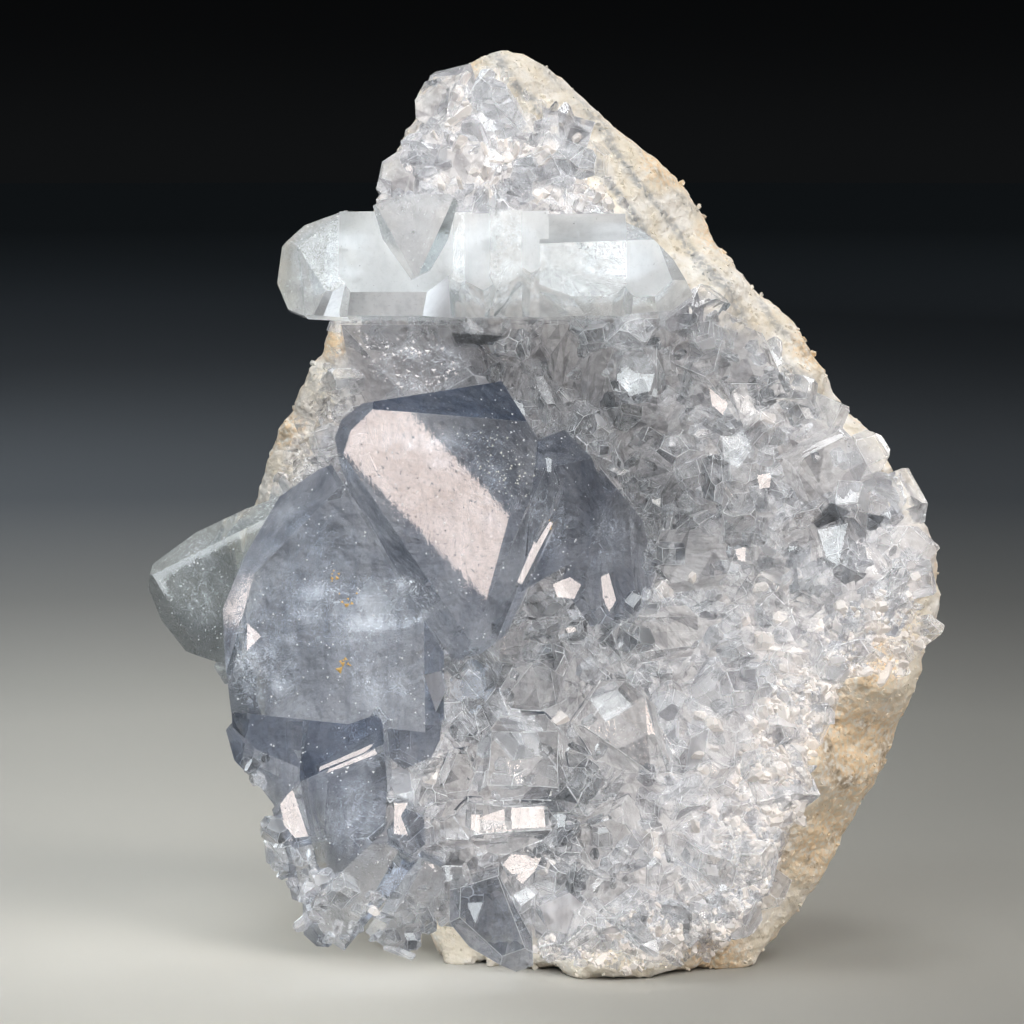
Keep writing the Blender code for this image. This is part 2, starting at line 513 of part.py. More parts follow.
def crystal_planes(crystal, swell=0.0):
    """The planes of a crystal: its front face, its bevels, its sides and its back."""
    at = Vector(crystal.at)
    normal = direction(*crystal.looks)
    middle = sum((Vector(p) for p in crystal.outline), Vector((0, 0))) / len(crystal.outline)

    def outwards(start, end):
        along = Vector(end) - Vector(start)
        way = Vector((along.y, -along.x)).normalized()
        if way.dot(Vector(start) - middle) < 0:
            way.negate()
        return Vector((way.x, way.y, 0.0))

    def on_face(u, v):
        w = at.z - (normal.x * (u - at.x) + normal.y * (v - at.y)) / normal.z
        return Vector((u, v, w))

    planes = [(at, normal), (Vector((at.x, at.y, crystal.back)), Vector((0, 0, -1)))]
    for start, end in zip(crystal.outline, crystal.outline[1:] + crystal.outline[:1]):
        planes.append((on_face(*start), outwards(start, end)))
    for start, end, turn in crystal.bevels:
        a, b = on_face(*start), on_face(*end)
        way = outwards(start, end)
        out = (b - a).cross(way).normalized()
        if out.z < 0:
            out.negate()
        turn = math.radians(turn)
        planes.append((a, way * math.sin(turn) + out * math.cos(turn)))
    return [(point + way * swell, way) for point, way in planes]


def bar_crystals():
    """The crystals of the bar across the top, side by side, and the wedge that stands on it."""
    made = []
    for number, section in enumerate(BAR_SECTIONS):
        left, left_low, right_low, right, corner, low, step = section
        under = BAR_UNDERSIDE + 0.06 * (number % 3)
        top = BAR_TOP - 0.11 * (number % 4)
        outline = [(left, under), (left, top), (right, top), (right, under)]
        bevels = [((left, low), (right, low), 48)]
        if number == 0:
            outline = [(-23.9, 65.7), (-25.6, 66.4), *BAR_LEFT_END, *outline[2:]]
            bevels += [((-24.4, 72.3), (left_low, low), 50), ((-24.4, 72.5), (-20.0, 75.7), 50)]
        else:
            bevels.append(((left, corner), (left_low, low), 62))
        if number == len(BAR_SECTIONS) - 1:
            outline = [outline[0], outline[1], *BAR_RIGHT_END, (6.9, under)]
            bevels += [((10.9, 72.6), (12.2, corner), 50), ((12.2, corner), (right_low, low), 55)]
        else:
            bevels.append(((right, corner), (right_low, low), 62))
        if step > 0.4:
            bevels.append(((0.0, 72.6), (9.0, 72.9), 55))
        at = (BAR_FACE[0], BAR_FACE[1], BAR_FACE[2] + step)
        back = BAR_BACK - 0.35 * (number % 3)
        made.append(Crystal(at, BAR_LOOKS, tuple(outline), tuple(bevels), back))
    return made + [WEDGE]


def small_crystal_mesh(chance, width, rise):
    """A small crystal standing on the origin along +w: a block with a chisel top and cut corners."""
    depth = width * chance.uniform(0.6, 1.0)
    planes = []
    for side in (-1, 1):
        slope = math.radians(chance.uniform(35, 62))
        planes.append((Vector((0, 0, rise)), Vector((side * math.sin(slope), 0, math.cos(slope)))))
        slope = math.radians(chance.uniform(18, 50))
        shoulder = Vector((0, side * depth * chance.uniform(0.1, 0.3), rise))
        planes.append((shoulder, Vector((0, side * math.sin(slope), math.cos(slope)))))
        planes.append((Vector((side * width / 2, 0, 0)), Vector((side, 0, 0.08))))
        planes.append((Vector((0, side * depth / 2, 0)), Vector((0, side, 0.08))))
    planes.append((Vector((0, 0, -1.8)), Vector((0, 0, -1))))
    planes.append((Vector((0, 0, rise * chance.uniform(0.86, 0.97))), Vector((0.1, 0.05, 1))))
    return cut_block([(p, n.normalized()) for p, n in planes], Vector((0, 0, 0)))


def inside(outline, u, v):
    """True if (u, v) lies in the closed outline."""
    found = False
    for (u0, v0), (u1, v1) in zip(outline, outline[1:] + outline[:1]):
        if (v0 > v) != (v1 > v) and u < u0 + (u1 - u0) * (v - v0) / (v1 - v0):
            found = not found
    return found


def small_crystals(surface, blocked):
    """Every small crystal of the crust as one bmesh of overlapping blocks.

    blocked(u, v) says where a larger crystal already stands.
    """
    chance = random.Random(SMALL_CRYSTAL_SEED)
    across = [p[0] for p in CRUST_OUTLINE]
    up = [p[1] for p in CRUST_OUTLINE]
    placed, bm = [], bmesh.new()
    for _ in range(SMALL_CRYSTAL_TRIES):
        if len(placed) == SMALL_CRYSTAL_COUNT:
            break
        u = chance.uniform(min(across), max(across))
        v = chance.uniform(min(up), max(up))
        width = chance.uniform(*SMALL_CRYSTAL_WIDTH)
        room = SMALL_CRYSTAL_SPACING * width
        if not inside(CRUST_OUTLINE, u, v) or blocked(u, v):
            continue
        if any(math.hypot(u - pu, v - pv) < 0.5 * (room + pr) for pu, pv, pr in placed):
            continue
        placed.append((u, v, room))
        rise = chance.uniform(*SMALL_CRYSTAL_RISE) * width / SMALL_CRYSTAL_WIDTH[1]
        block = small_crystal_mesh(chance, width, rise + 1.0)
        slope_u = (wall_depth(u + 1, v) - wall_depth(u - 1, v)) / 2
        slope_v = (wall_depth(u, v + 1) - wall_depth(u, v - 1)) / 2
        up_way = Vector((-slope_u, -slope_v, 1)).normalized()
        lean = math.radians(SMALL_CRYSTAL_TILT)
        up_way += Vector((chance.uniform(-lean, lean), chance.uniform(-lean, lean), 0))
        turn = up_way.normalized().to_track_quat("Z", "Y").to_matrix().to_4x4()
        spin = Matrix.Rotation(chance.uniform(0, math.pi), 4, "Z")
        base = Vector((u, v, surface(u, v) + CRUST_THICKNESS - 0.4))
        block.transform(Matrix.Translation(base) @ turn @ spin)
        held = bpy.data.meshes.new("block")
        block.to_mesh(held)
        block.free()
        bm.from_mesh(held)
        bpy.data.meshes.remove(held)
    print(len(placed), "small crystals")
    return bm


def material(name):
    colour, rough = COLOURS[name]
    made = bpy.data.materials.get(name)
    if made is None:
        made = bpy.data.materials.new(name)
        made.use_nodes = True
        shader = made.node_tree.nodes["Principled BSDF"]
        shader.inputs["Base Color"].default_value = colour
        shader.inputs["Roughness"].default_value = rough
        shader.inputs["Metallic"].default_value = 0.0
    return made


def add_object(name, bm):
    """Puts a bmesh in millimetres into the scene as an object in metres, and frees it."""
    bm.transform(Matrix.Scale(MM, 4))
    mesh = bpy.data.meshes.new(name)
    bm.to_mesh(mesh)
    bm.free()
    obj = bpy.data.objects.new(name, mesh)
    bpy.context.scene.collection.objects.link(obj)
    return obj


def combine(obj, other, operation, self_crossing=False):
    """Applies a Boolean of other to obj, and removes other."""
    modifier = obj.modifiers.new("combine", "BOOLEAN")
    modifier.object = other
    modifier.operation = operation
    modifier.solver = "EXACT"
    modifier.use_self = self_crossing
    keep_evaluated(obj)
    bpy.data.objects.remove(other, do_unlink=True)


def keep_evaluated(obj):
    """Replaces the object's mesh by what its modifiers make of it."""
    bpy.context.view_layer.update()
    graph = bpy.context.evaluated_depsgraph_get()
    made = bpy.data.meshes.new_from_object(obj.evaluated_get(graph))
    obj.modifiers.clear()
    old = obj.data
    obj.data = made
    bpy.data.meshes.remove(old)


def keep_largest_body(bm):
    """Drops the crumbs that a cut has freed, and the shells of bubbles inside."""
    bodies, seen = [], set()
    for start in bm.faces:
        if start in seen:
            continue
        stack, body = [start], []
        seen.add(start)
        while stack:
            face = stack.pop()
            body.append(face)
            for edge in face.edges:
                for other in edge.link_faces:
                    if other not in seen:
                        seen.add(other)
                        stack.append(other)
        bodies.append(body)
    bodies.sort(key=len)
    for body in bodies[:-1]:
        bmesh.ops.delete(bm, geom=body, context="FACES")


def finish(obj):
    """Leaves the object as one closed body of triangles.

    Points that lie together are joined, at the least distance that leaves every edge between
    two faces.
    """
    for distance in MERGE_DISTANCES:
        bm = bmesh.new()
        bm.from_mesh(obj.data)
        bmesh.ops.remove_doubles(bm, verts=bm.verts, dist=distance * MM)
        bmesh.ops.dissolve_degenerate(bm, edges=bm.edges, dist=distance * MM)
        keep_largest_body(bm)
        bmesh.ops.triangulate(bm, faces=bm.faces)
        closed = all(edge.is_manifold for edge in bm.edges)
        if closed:
            bm.to_mesh(obj.data)
        bm.free()
        if closed:
            return
    print(obj.name, "is left with an edge that isn't between two faces")


def crystals_of(node):
    """The crystals that make up one of the large nodes."""
    name, _, crystals = node
    return bar_crystals() if name == "bar_crystal" else crystals


def build_large(name, crystals, swell=0.0):
    """The crystals of one node, joined where they have grown together."""
    made = None
    for crystal in crystals:
        bm = cut_block(crystal_planes(crystal, swell), Vector(crystal.at))
        obj = add_object(name, bm)
        if made is None:
            made = obj
        else:
            combine(made, obj, "UNION")
    return made


def ground_taken():
    """Tells where a larger crystal stands, to keep the small ones off its ground."""
    outlines = [c.outline for node in LARGE_CRYSTALS for c in crystals_of(node)]
    outlines += [c.outline for c in CRUST_CRYSTALS]

    def blocked(u, v):
        return any(inside(outline, u, v) for outline in outlines)

    return blocked


def lean_and_rest(objects):
    """Leans every solid back, cuts the wall flat where it rests, and centres the piece."""
    stand_up = Matrix(((1, 0, 0, 0), (0, 0, -1, 0), (0, 1, 0, 0), (0, 0, 0, 1)))
    turn = Matrix.Rotation(-LEAN, 4, "X") @ stand_up
    for obj in objects:
        obj.data.transform(turn)
    for obj in objects:
        cut_flat(obj)
    corners = [v.co for obj in objects for v in obj.data.vertices]
    low = Vector([min(c[k] for c in corners) for k in range(3)])
    high = Vector([max(c[k] for c in corners) for k in range(3)])
    shift = Vector((-(low.x + high.x) / 2, -(low.y + high.y) / 2, -low.z))
    for obj in objects:
        obj.data.transform(Matrix.Translation(shift))
    print("moved by", [round(x / MM, 2) for x in shift], "mm")


def cut_flat(obj):
    """Cuts off what lies under the surface that the piece rests on."""
    bm = bmesh.new()
    bm.from_mesh(obj.data)
    if min(v.co.z for v in bm.verts) < 0:
        everything = bm.verts[:] + bm.edges[:] + bm.faces[:]
        cut = bmesh.ops.bisect_plane(bm, geom=everything, dist=1e-7, plane_co=(0, 0, 0),
                                     plane_no=(0, 0, -1), clear_outer=True)
        edges = [e for e in cut["geom_cut"] if isinstance(e, bmesh.types.BMEdge)]
        bmesh.ops.holes_fill(bm, edges=edges)
        bmesh.ops.triangulate(bm, faces=bm.faces)
        bmesh.ops.recalc_face_normals(bm, faces=bm.faces)
    bm.to_mesh(obj.data)
    bm.free()


def build_crust():
    """The crust with its crystals, cut clear of the wall and of the large crystals."""
    surface = wall_surface()
    crust = add_object("druse_crust", crust_mesh(surface))
    combine(crust, build_large("crystals", CRUST_CRYSTALS), "UNION")
    combine(crust, add_object("crystals", small_crystals(surface, ground_taken())), "UNION", True)
    combine(crust, add_object("wall_cutter", wall_mesh(GAP)), "DIFFERENCE")
    for node in LARGE_CRYSTALS:
        combine(crust, build_large("cutter", crystals_of(node), GAP), "DIFFERENCE")
    return crust


def build_large_crystals():
    """Every large crystal or group, clear of the wall and of the groups before it."""
    made = []
    for number, node in enumerate(LARGE_CRYSTALS):
        obj = build_large(node[0], crystals_of(node))
        for earlier in LARGE_CRYSTALS[:number]:
            combine(obj, build_large("cutter", crystals_of(earlier), GAP), "DIFFERENCE")
        combine(obj, add_object("wall_cutter", wall_mesh(GAP)), "DIFFERENCE")
        obj.data.materials.clear()
        obj.data.materials.append(material(node[1]))
        made.append(obj)
    return made


def main():
    clear_scene()
    wall = add_object("geode_wall", wall_mesh())
    wall.data.materials.append(material("rock"))
    crystals = build_large_crystals()
    crust = build_crust()
    crust.data.materials.clear()
    crust.data.materials.append(material("crust"))
    nodes = [wall, crust] + crystals
    for obj in nodes:
        finish(obj)
    lean_and_rest(nodes)


main()
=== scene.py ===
"""Looks of a celestite specimen: a broken piece of a geode's wall lined with clear crystals.

The solids of the part come from the frame. This script gives the rock its broken surface, dresses the
large crystals in see-through finishes, sows the druse of small crystals between them, and sets up a
plain studio.
"""

from __future__ import annotations

import logging
import math
from dataclasses import dataclass
from enum import Enum

import bpy
import numpy as np
from mathutils import Matrix, Vector, noise
from mathutils.bvhtree import BVHTree

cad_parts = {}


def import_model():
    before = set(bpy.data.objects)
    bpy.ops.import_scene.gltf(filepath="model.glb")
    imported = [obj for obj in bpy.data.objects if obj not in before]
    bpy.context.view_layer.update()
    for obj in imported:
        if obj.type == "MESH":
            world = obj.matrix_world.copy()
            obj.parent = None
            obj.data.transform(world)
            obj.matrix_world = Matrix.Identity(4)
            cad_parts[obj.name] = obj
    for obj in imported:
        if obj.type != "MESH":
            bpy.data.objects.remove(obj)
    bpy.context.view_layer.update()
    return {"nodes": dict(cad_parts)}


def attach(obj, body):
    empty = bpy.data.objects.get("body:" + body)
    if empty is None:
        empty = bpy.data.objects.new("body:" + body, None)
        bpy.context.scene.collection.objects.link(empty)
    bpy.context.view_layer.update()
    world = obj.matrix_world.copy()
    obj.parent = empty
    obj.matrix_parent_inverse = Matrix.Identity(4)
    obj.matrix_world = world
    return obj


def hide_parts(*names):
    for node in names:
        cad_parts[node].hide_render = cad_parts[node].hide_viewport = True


MM = 0.001
LOG = logging.getLogger("celestite")


class Slot(Enum):
    """The record's material slots."""

    ROCK = "rock"
    DRUSE = "druse"
    BLUE = "blue_celestite"
    PALE = "pale_celestite"
    SMOKY = "smoky_celestite"


@dataclass(frozen=True)
class FaceOn:
    """The frame in which places on the specimen are given, in millimetres.

    u runs to the right, v up and w towards the camera. It is leaned back from the upright frame of
    the part and shifted against it.
    """

    lean: float = 6.0
    shift: tuple[float, float, float] = (0.13, -7.52, 0.0)
    pixel_origin: tuple[float, float] = (546.0, 975.0)
    pixels_per_mm: float = 10.0
    pixel_depth: float = 5.0
    middle: tuple[float, float] = (512.0, 512.0)
    away: float = 420.0
    panel_reach: float = 0.7

    def turn(self) -> Matrix:
        """The rotation from this frame to the part's."""
        stand_up = Matrix(((1, 0, 0), (0, 0, -1), (0, 1, 0)))
        return Matrix.Rotation(-math.radians(self.lean), 3, "X") @ stand_up

    def point(self, u: float, v: float, w: float) -> Vector:
        """A place in the part's frame, in metres."""
        return (self.turn() @ Vector((u, v, w)) + Vector(self.shift)) * MM

    def back(self, place: Vector) -> Vector:
        """A place given in metres in the part's frame, as (u, v, w) in millimetres."""
        return self.turn().transposed() @ (place / MM - Vector(self.shift))

    def way(self, yaw: float, pitch: float) -> Vector:
        """A unit direction turned right by yaw and up by pitch from straight out, in degrees."""
        yaw, pitch = math.radians(yaw), math.radians(pitch)
        way = Vector((math.sin(yaw) * math.cos(pitch), math.sin(pitch), math.cos(yaw) * math.cos(pitch)))
        return self.turn() @ way

    def of_pixel(self, x: float, y: float) -> tuple[float, float]:
        """(u, v) of a pixel of the picture, at the depth where the picture's scale holds."""
        scale = self.pixels_per_mm
        return (x - self.pixel_origin[0]) / scale, (self.pixel_origin[1] - y) / scale

    def eye(self) -> Vector:
        """Where the camera stands, in metres."""
        return self.point(*self.of_pixel(*self.middle), self.pixel_depth + self.away)

    def panel_place(self, yaw: float, pitch: float) -> Vector:
        """Where a panel in this direction stands, in metres."""
        return self.point(0.0, 48.0, 5.0) + self.way(yaw, pitch) * self.panel_reach

    def ray_to(self, x: float, y: float) -> Vector:
        """The camera's unit ray through a pixel."""
        return (self.point(*self.of_pixel(x, y), self.pixel_depth) - self.eye()).normalized()


FACE = FaceOn()


def deselect() -> None:
    """Leaves nothing selected and no mesh in edit mode."""
    if bpy.context.object and bpy.context.object.mode != "OBJECT":
        bpy.ops.object.mode_set(mode="OBJECT")
    bpy.ops.object.select_all(action="DESELECT")


def activate(obj: bpy.types.Object) -> None:
    """Makes the object the only selected one."""
    deselect()
    obj.select_set(True)
    bpy.context.view_layer.objects.active = obj


def copy_of_node(node: bpy.types.Object, name: str) -> bpy.types.Object:
    """A new piece with the merged mesh of a solid of the frame.

    Args:
        node: the solid.
        name: the new piece's name.

    Returns:
        The piece, with the points that its triangles share merged.
    """
    obj = bpy.data.objects.new(name, node.data.copy())
    bpy.context.scene.collection.objects.link(obj)
    obj.data.materials.clear()
    activate(obj)
    bpy.ops.object.mode_set(mode="EDIT")
    bpy.ops.mesh.select_all(action="SELECT")
    bpy.ops.mesh.remove_doubles(threshold=0.002 * MM)
    bpy.ops.object.mode_set(mode="OBJECT")
    return obj


def give_slots(obj: bpy.types.Object) -> None:
    """Gives the piece slots for its faces, its worn edges, which also paint highlights, and its seams of painted shade,
    all still empty.
    """
    obj.data.materials.clear()
    for _ in range(3):
        obj.data.materials.append(None)


def apply_modifier(obj: bpy.types.Object, kind: str, **values: object) -> None:
    """Adds a modifier with these values to the object and applies it."""
    activate(obj)
    modifier = obj.modifiers.new(kind.lower(), kind)
    for key, value in values.items():
        setattr(modifier, key, value)
    bpy.ops.object.modifier_apply(modifier=modifier.name)


def finish_piece(obj: bpy.types.Object, finishes: tuple[bpy.types.Material, ...], slot: Slot, *nodes: str) -> None:
    """Dresses a piece, ties it to the specimen and hides the solids that it stands for."""
    for number, finish in enumerate(finishes):
        if number < len(obj.data.materials):
            obj.data.materials[number] = finish
        else:
            obj.data.materials.append(finish)
    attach(obj, "root")
    if nodes:
        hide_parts(*nodes)
    LOG.info("%s: %d faces", obj.name, len(obj.data.polygons))


def inside(outline: tuple[tuple[float, float], ...], u: float, v: float) -> bool:
    """True if (u, v) lies in the closed outline."""
    found = False
    for (u0, v0), (u1, v1) in zip(outline, outline[1:] + outline[:1]):
        if (v0 > v) != (v1 > v) and u < u0 + (u1 - u0) * (v - v0) / (v1 - v0):
            found = not found
    return found


def outline_distance(outline: tuple[tuple[float, float], ...], u: float, v: float) -> float:
    """How far (u, v) lies from the outline's line, in millimetres."""
    best = 1e9
    point = Vector((u, v))
    for start, end in zip(outline, outline[1:] + outline[:1]):
        a, b = Vector(start), Vector(end)
        along = b - a
        share = max(0.0, min(1.0, (point - a).dot(along) / along.length_squared))
        best = min(best, (point - a - along * share).length)
    return best


def facets_of(pieces: list[bpy.types.Object]) -> BVHTree:
    """The faces of several pieces, to be searched by ray."""
    points, faces = [], []
    for piece in pieces:
        start = len(points)
        points += [v.co.copy() for v in piece.data.vertices]
        faces += [[start + k for k in p.vertices] for p in piece.data.polygons]
    return BVHTree.FromPolygons(points, faces)


class NodeSketch:
    """A node tree that is being drawn, with short calls for its nodes and links."""

    def __init__(self, tree: bpy.types.NodeTree) -> None:
        """Starts on an empty tree."""
        self.tree = tree
        tree.nodes.clear()

    def add(self, kind: str, inputs: dict[str | int, object] | None = None, **values: object) -> bpy.types.Node:
        """Adds a node.

        Args:
            kind: the node's type, without ShaderNode in front.
            inputs: what each input holds: a socket to link, or a value.
            values: the node's own settings.

        Returns:
            The node.
        """
        node = self.tree.nodes.new(kind if kind.startswith("Node") else "ShaderNode" + kind)
        for key, value in values.items():
            setattr(node, key, value)
        for key, value in (inputs or {}).items():
            if isinstance(value, bpy.types.NodeSocket):
                self.tree.links.new(value, node.inputs[key])
            else:
                node.inputs[key].default_value = value
        return node

    def mix(self, factor: object, first: object, second: object, mode: str = "MIX") -> bpy.types.NodeSocket:
        """Mixes two colours and returns the result."""
        node = self.add("Mix", data_type="RGBA", blend_type=mode)
        for key, value in ((0, factor), (6, first), (7, second)):
            if isinstance(value, bpy.types.NodeSocket):
                self.tree.links.new(value, node.inputs[key])
            else:
                node.inputs[key].default_value = value
        return node.outputs[2]

    def math(self, operation: str, first: object, second: object = 0.0) -> bpy.types.NodeSocket:
        """One sum, product or other step of arithmetic."""
        return self.add("Math", {0: first, 1: second}, operation=operation).outputs[0]

    def ramp(self, value: object, low: float, high: float, to_low: float = 0.0, to_high: float = 1.0) -> bpy.types.NodeSocket:
        """Maps a range smoothly to another, and keeps it within it."""
        inputs = {"Value": value, "From Min": low, "From Max": high, "To Min": to_low, "To Max": to_high}
        return self.add("MapRange", inputs, interpolation_type="SMOOTHSTEP").outputs["Result"]


def new_group(name: str, inputs: dict[str, float], outputs: tuple[str, ...]) -> tuple[bpy.types.NodeTree, NodeSketch]:
    """A shader node group with number sockets.

    Args:
        name: the group's name.
        inputs: each input's name and its usual value. Position is a vector.
        outputs: the names of the outputs.

    Returns:
        The group and a sketch of its tree.
    """
    tree = bpy.data.node_groups.new(name, "ShaderNodeTree")
    sketch = NodeSketch(tree)
    tree.interface.new_socket(name="Position", in_out="INPUT", socket_type="NodeSocketVector")
    for key, value in inputs.items():
        socket = tree.interface.new_socket(name=key, in_out="INPUT", socket_type="NodeSocketFloat")
        socket.default_value = value
    for key in outputs:
        tree.interface.new_socket(name=key, in_out="OUTPUT", socket_type="NodeSocketFloat")
    return tree, sketch


class Effects:
    """The shader node groups that several finishes share."""

    def __init__(self) -> None:
        """Builds each group once."""
        self.clouds = self.build_clouds()
        self.growth = self.build_growth()
        self.grain = self.build_grain()

    def build_clouds(self) -> bpy.types.NodeTree:
        """Milky clouds and fine threads inside a crystal.

        Returns:
            A group with the masks Cloud and Thread.
        """
        tree, s = new_group("milky_clouds", {"Size": 6.0, "Cover": 0.5}, ("Cloud", "Thread"))
        ins = s.add("NodeGroupInput").outputs
        scale = s.math("DIVIDE", 1000.0, ins["Size"])
        soft = s.add("TexNoise", {"Vector": ins["Position"], "Scale": scale, "Detail": 4.0, "Distortion": 0.6})
        low = s.math("SUBTRACT", 0.95, s.math("MULTIPLY", ins["Cover"], 0.6))
        cloud = s.add("MapRange", {"Value": soft.outputs[0], "From Min": low,
                                   "From Max": s.math("ADD", low, 0.2)}, interpolation_type="SMOOTHSTEP")
        fine = s.math("MULTIPLY", scale, 2.3)
        bent = s.add("TexNoise", {"Vector": ins["Position"], "Scale": fine, "Detail": 3.0, "Distortion": 2.2})
        line = s.math("ABSOLUTE", s.math("SUBTRACT", bent.outputs[0], 0.5))
        thread = s.ramp(line, 0.0, 0.022, 1.0, 0.0)
        outs = s.add("NodeGroupOutput", {"Cloud": cloud.outputs["Result"], "Thread": thread})
        outs.is_active_output = True
        return tree

    def build_growth(self) -> bpy.types.NodeTree:
        """Growth lines and pits on a crystal's faces.

        Returns:
            A group with a Height for bump and a Pit mask.
        """
        tree, s = new_group("growth_lines", {"Size": 1.2, "Stretch": 8.0, "Pits": 0.5}, ("Height", "Pit"))
        ins = s.add("NodeGroupInput").outputs
        scale = s.math("DIVIDE", 1000.0, ins["Size"])
        squeeze = s.add("CombineXYZ", {"X": 1.0, "Y": 1.0, "Z": s.math("DIVIDE", 1.0, ins["Stretch"])})
        across = s.add("VectorMath", {0: ins["Position"], 1: squeeze.outputs[0]}, operation="MULTIPLY")
        lines = s.add("TexNoise", {"Vector": across.outputs[0], "Scale": scale, "Detail": 3.0, "Distortion": 0.2})
        pits = s.add("TexNoise", {"Vector": ins["Position"], "Scale": s.math("MULTIPLY", scale, 2.4), "Detail": 5.0})
        pit = s.ramp(pits.outputs[0], 0.58, 0.72)
        height = s.math("SUBTRACT", lines.outputs[0], s.math("MULTIPLY", pit, ins["Pits"]))
        outs = s.add("NodeGroupOutput", {"Height": height, "Pit": pit})
        outs.is_active_output = True
        return tree

    def build_grain(self) -> bpy.types.NodeTree:
        """Grain of broken rock and sugary quartz.

        Returns:
            A group with Coarse, Fine and Speck masks and a Height.
        """
        tree, s = new_group("rock_grain", {"Size": 3.0}, ("Coarse", "Fine", "Speck", "Height"))
        ins = s.add("NodeGroupInput").outputs
        scale = s.math("DIVIDE", 1000.0, ins["Size"])
        coarse = s.add("TexNoise", {"Vector": ins["Position"], "Scale": scale, "Detail": 6.0, "Roughness": 0.6})
        fine = s.add("TexNoise", {"Vector": ins["Position"], "Scale": s.math("MULTIPLY", scale, 6.0), "Detail": 4.0})
        cells = s.add("TexVoronoi", {"Vector": ins["Position"], "Scale": s.math("MULTIPLY", scale, 3.5)})
        speck = s.ramp(cells.outputs["Distance"], 0.1, 0.26, 1.0, 0.0)
        height = s.math("ADD", s.math("MULTIPLY", fine.outputs[0], 0.6), s.math("MULTIPLY", cells.outputs["Distance"], 0.5))
        outs = s.add("NodeGroupOutput", {"Coarse": coarse.outputs[0], "Fine": fine.outputs[0],
                                         "Speck": speck, "Height": height})
        outs.is_active_output = True
        return tree


def new_material(name: str) -> tuple[bpy.types.Material, NodeSketch]:
    """A material with an empty node tree, and the sketch that draws it."""
    made = bpy.data.materials.new(name)
    made.use_nodes = True
    return made, NodeSketch(made.node_tree)


@dataclass(frozen=True)
class CrystalFinish:
    """A see-through crystal.

    Clear and milky are its colours where it is clean and where it is clouded. Absorbed and density
    give the colour that it takes on with depth, per metre. The piece's attribute facet_tone_and_shade leads from
    the dark colour to them; it varies at random and also paints light and shade, darker or lighter as
    each facet would look lit, so the dark colour is painted shade. Its attribute frost roughens a facet.
    """

    name: str
    clear: tuple[float, float, float]
    milky: tuple[float, float, float]
    absorbed: tuple[float, float, float]
    density: float
    transmission: float = 0.9
    cloud_size: float = 7.0
    cloud_cover: float = 0.5
    line_size: float = 0.7
    bump: float = 0.12
    roughness: tuple[float, float] = (0.01, 0.18)
    # Painted shade: a facet's colour at the lowest facet_tone_and_shade.
    dark: tuple[float, float, float] = (0.2, 0.24, 0.3)
    frosted: float = 0.4
    streaks: float = 0.3
    patches: float = 0.0

    def build(self, effects: Effects) -> bpy.types.Material:
        """Draws the material.

        Args:
            effects: the shared node groups.

        Returns:
            The material.
        """
        made, s = new_material(self.name)
        place = s.add("TexCoord").outputs["Object"]
        clouds = s.add("Group", node_tree=effects.clouds)
        growth = s.add("Group", node_tree=effects.growth)
        for node, values in ((clouds, {"Size": self.cloud_size, "Cover": self.cloud_cover}),
                             (growth, {"Size": self.line_size})):
            s.tree.links.new(place, node.inputs["Position"])
            for key, value in values.items():
                node.inputs[key].default_value = value
        white = s.math("MAXIMUM", clouds.outputs["Cloud"], s.math("MULTIPLY", clouds.outputs["Thread"], 0.7))
        colour = s.mix(white, (*self.clear, 1.0), (*self.milky, 1.0))
        # Painted light and shade on each facet, with random tone: facet_tone_and_shade leads from the dark colour.
        tone = s.add("Attribute", attribute_name="facet_tone_and_shade").outputs["Fac"]
        streak = s.ramp(growth.outputs["Height"], 0.25, 0.6, 1.0 - self.streaks, 1.0)
        depth = s.add("TexNoise", {"Vector": place, "Scale": 150.0, "Detail": 1.0}).outputs[0]
        patch = s.ramp(depth, 0.40, 0.58, 1.0 - self.patches, 1.0)
        tone = s.math("MULTIPLY", tone, patch)
        colour = s.mix(s.math("MULTIPLY", tone, streak), (*self.dark, 1.0), colour)
        frost = s.math("MULTIPLY", s.add("Attribute", attribute_name="frost").outputs["Fac"], self.frosted)
        spots = s.math("MAXIMUM", s.math("MULTIPLY", white, 0.6), growth.outputs["Pit"])
        rough = s.math("ADD", s.ramp(spots, 0.2, 1.0, *self.roughness), frost)
        bump = s.add("Bump", {"Strength": self.bump, "Distance": 0.4 * MM, "Height": growth.outputs["Height"]})
        shader = s.add("BsdfPrincipled", {"Base Color": colour, "Roughness": rough, "Metallic": 0.0, "IOR": 1.62,
                                          "Transmission Weight": self.transmission, "Normal": bump.outputs[0]})
        outs = {"Surface": shader.outputs[0]}
        if self.density:
            depth = s.add("VolumeAbsorption", {"Color": (*self.absorbed, 1.0), "Density": self.density})
            outs["Volume"] = depth.outputs[0]
        s.add("OutputMaterial", outs)
        return made


@dataclass(frozen=True)
class EdgeFinish:
    """The worn, frosted edges of the crystals, whose white also paints highlights along them."""

    name: str = "worn_edge_highlight"
    colour: tuple[float, float, float] = (0.93, 0.95, 0.97)
    transmission: float = 0.12

    def build(self, effects: Effects) -> bpy.types.Material:
        """Draws the material.

        Args:
            effects: the shared node groups.

        Returns:
            The material.
        """
        made, s = new_material(self.name)
        place = s.add("TexCoord").outputs["Object"]
        growth = s.add("Group", {"Position": place, "Size": 0.6}, node_tree=effects.growth).outputs
        rough = s.ramp(growth["Height"], 0.3, 0.7, 0.15, 0.5)
        shader = s.add("BsdfPrincipled", {"Base Color": (*self.colour, 1.0), "Roughness": rough, "Metallic": 0.0,
                                          "IOR": 1.62, "Transmission Weight": self.transmission})
        s.add("OutputMaterial", {"Surface": shader.outputs[0]})
        return made


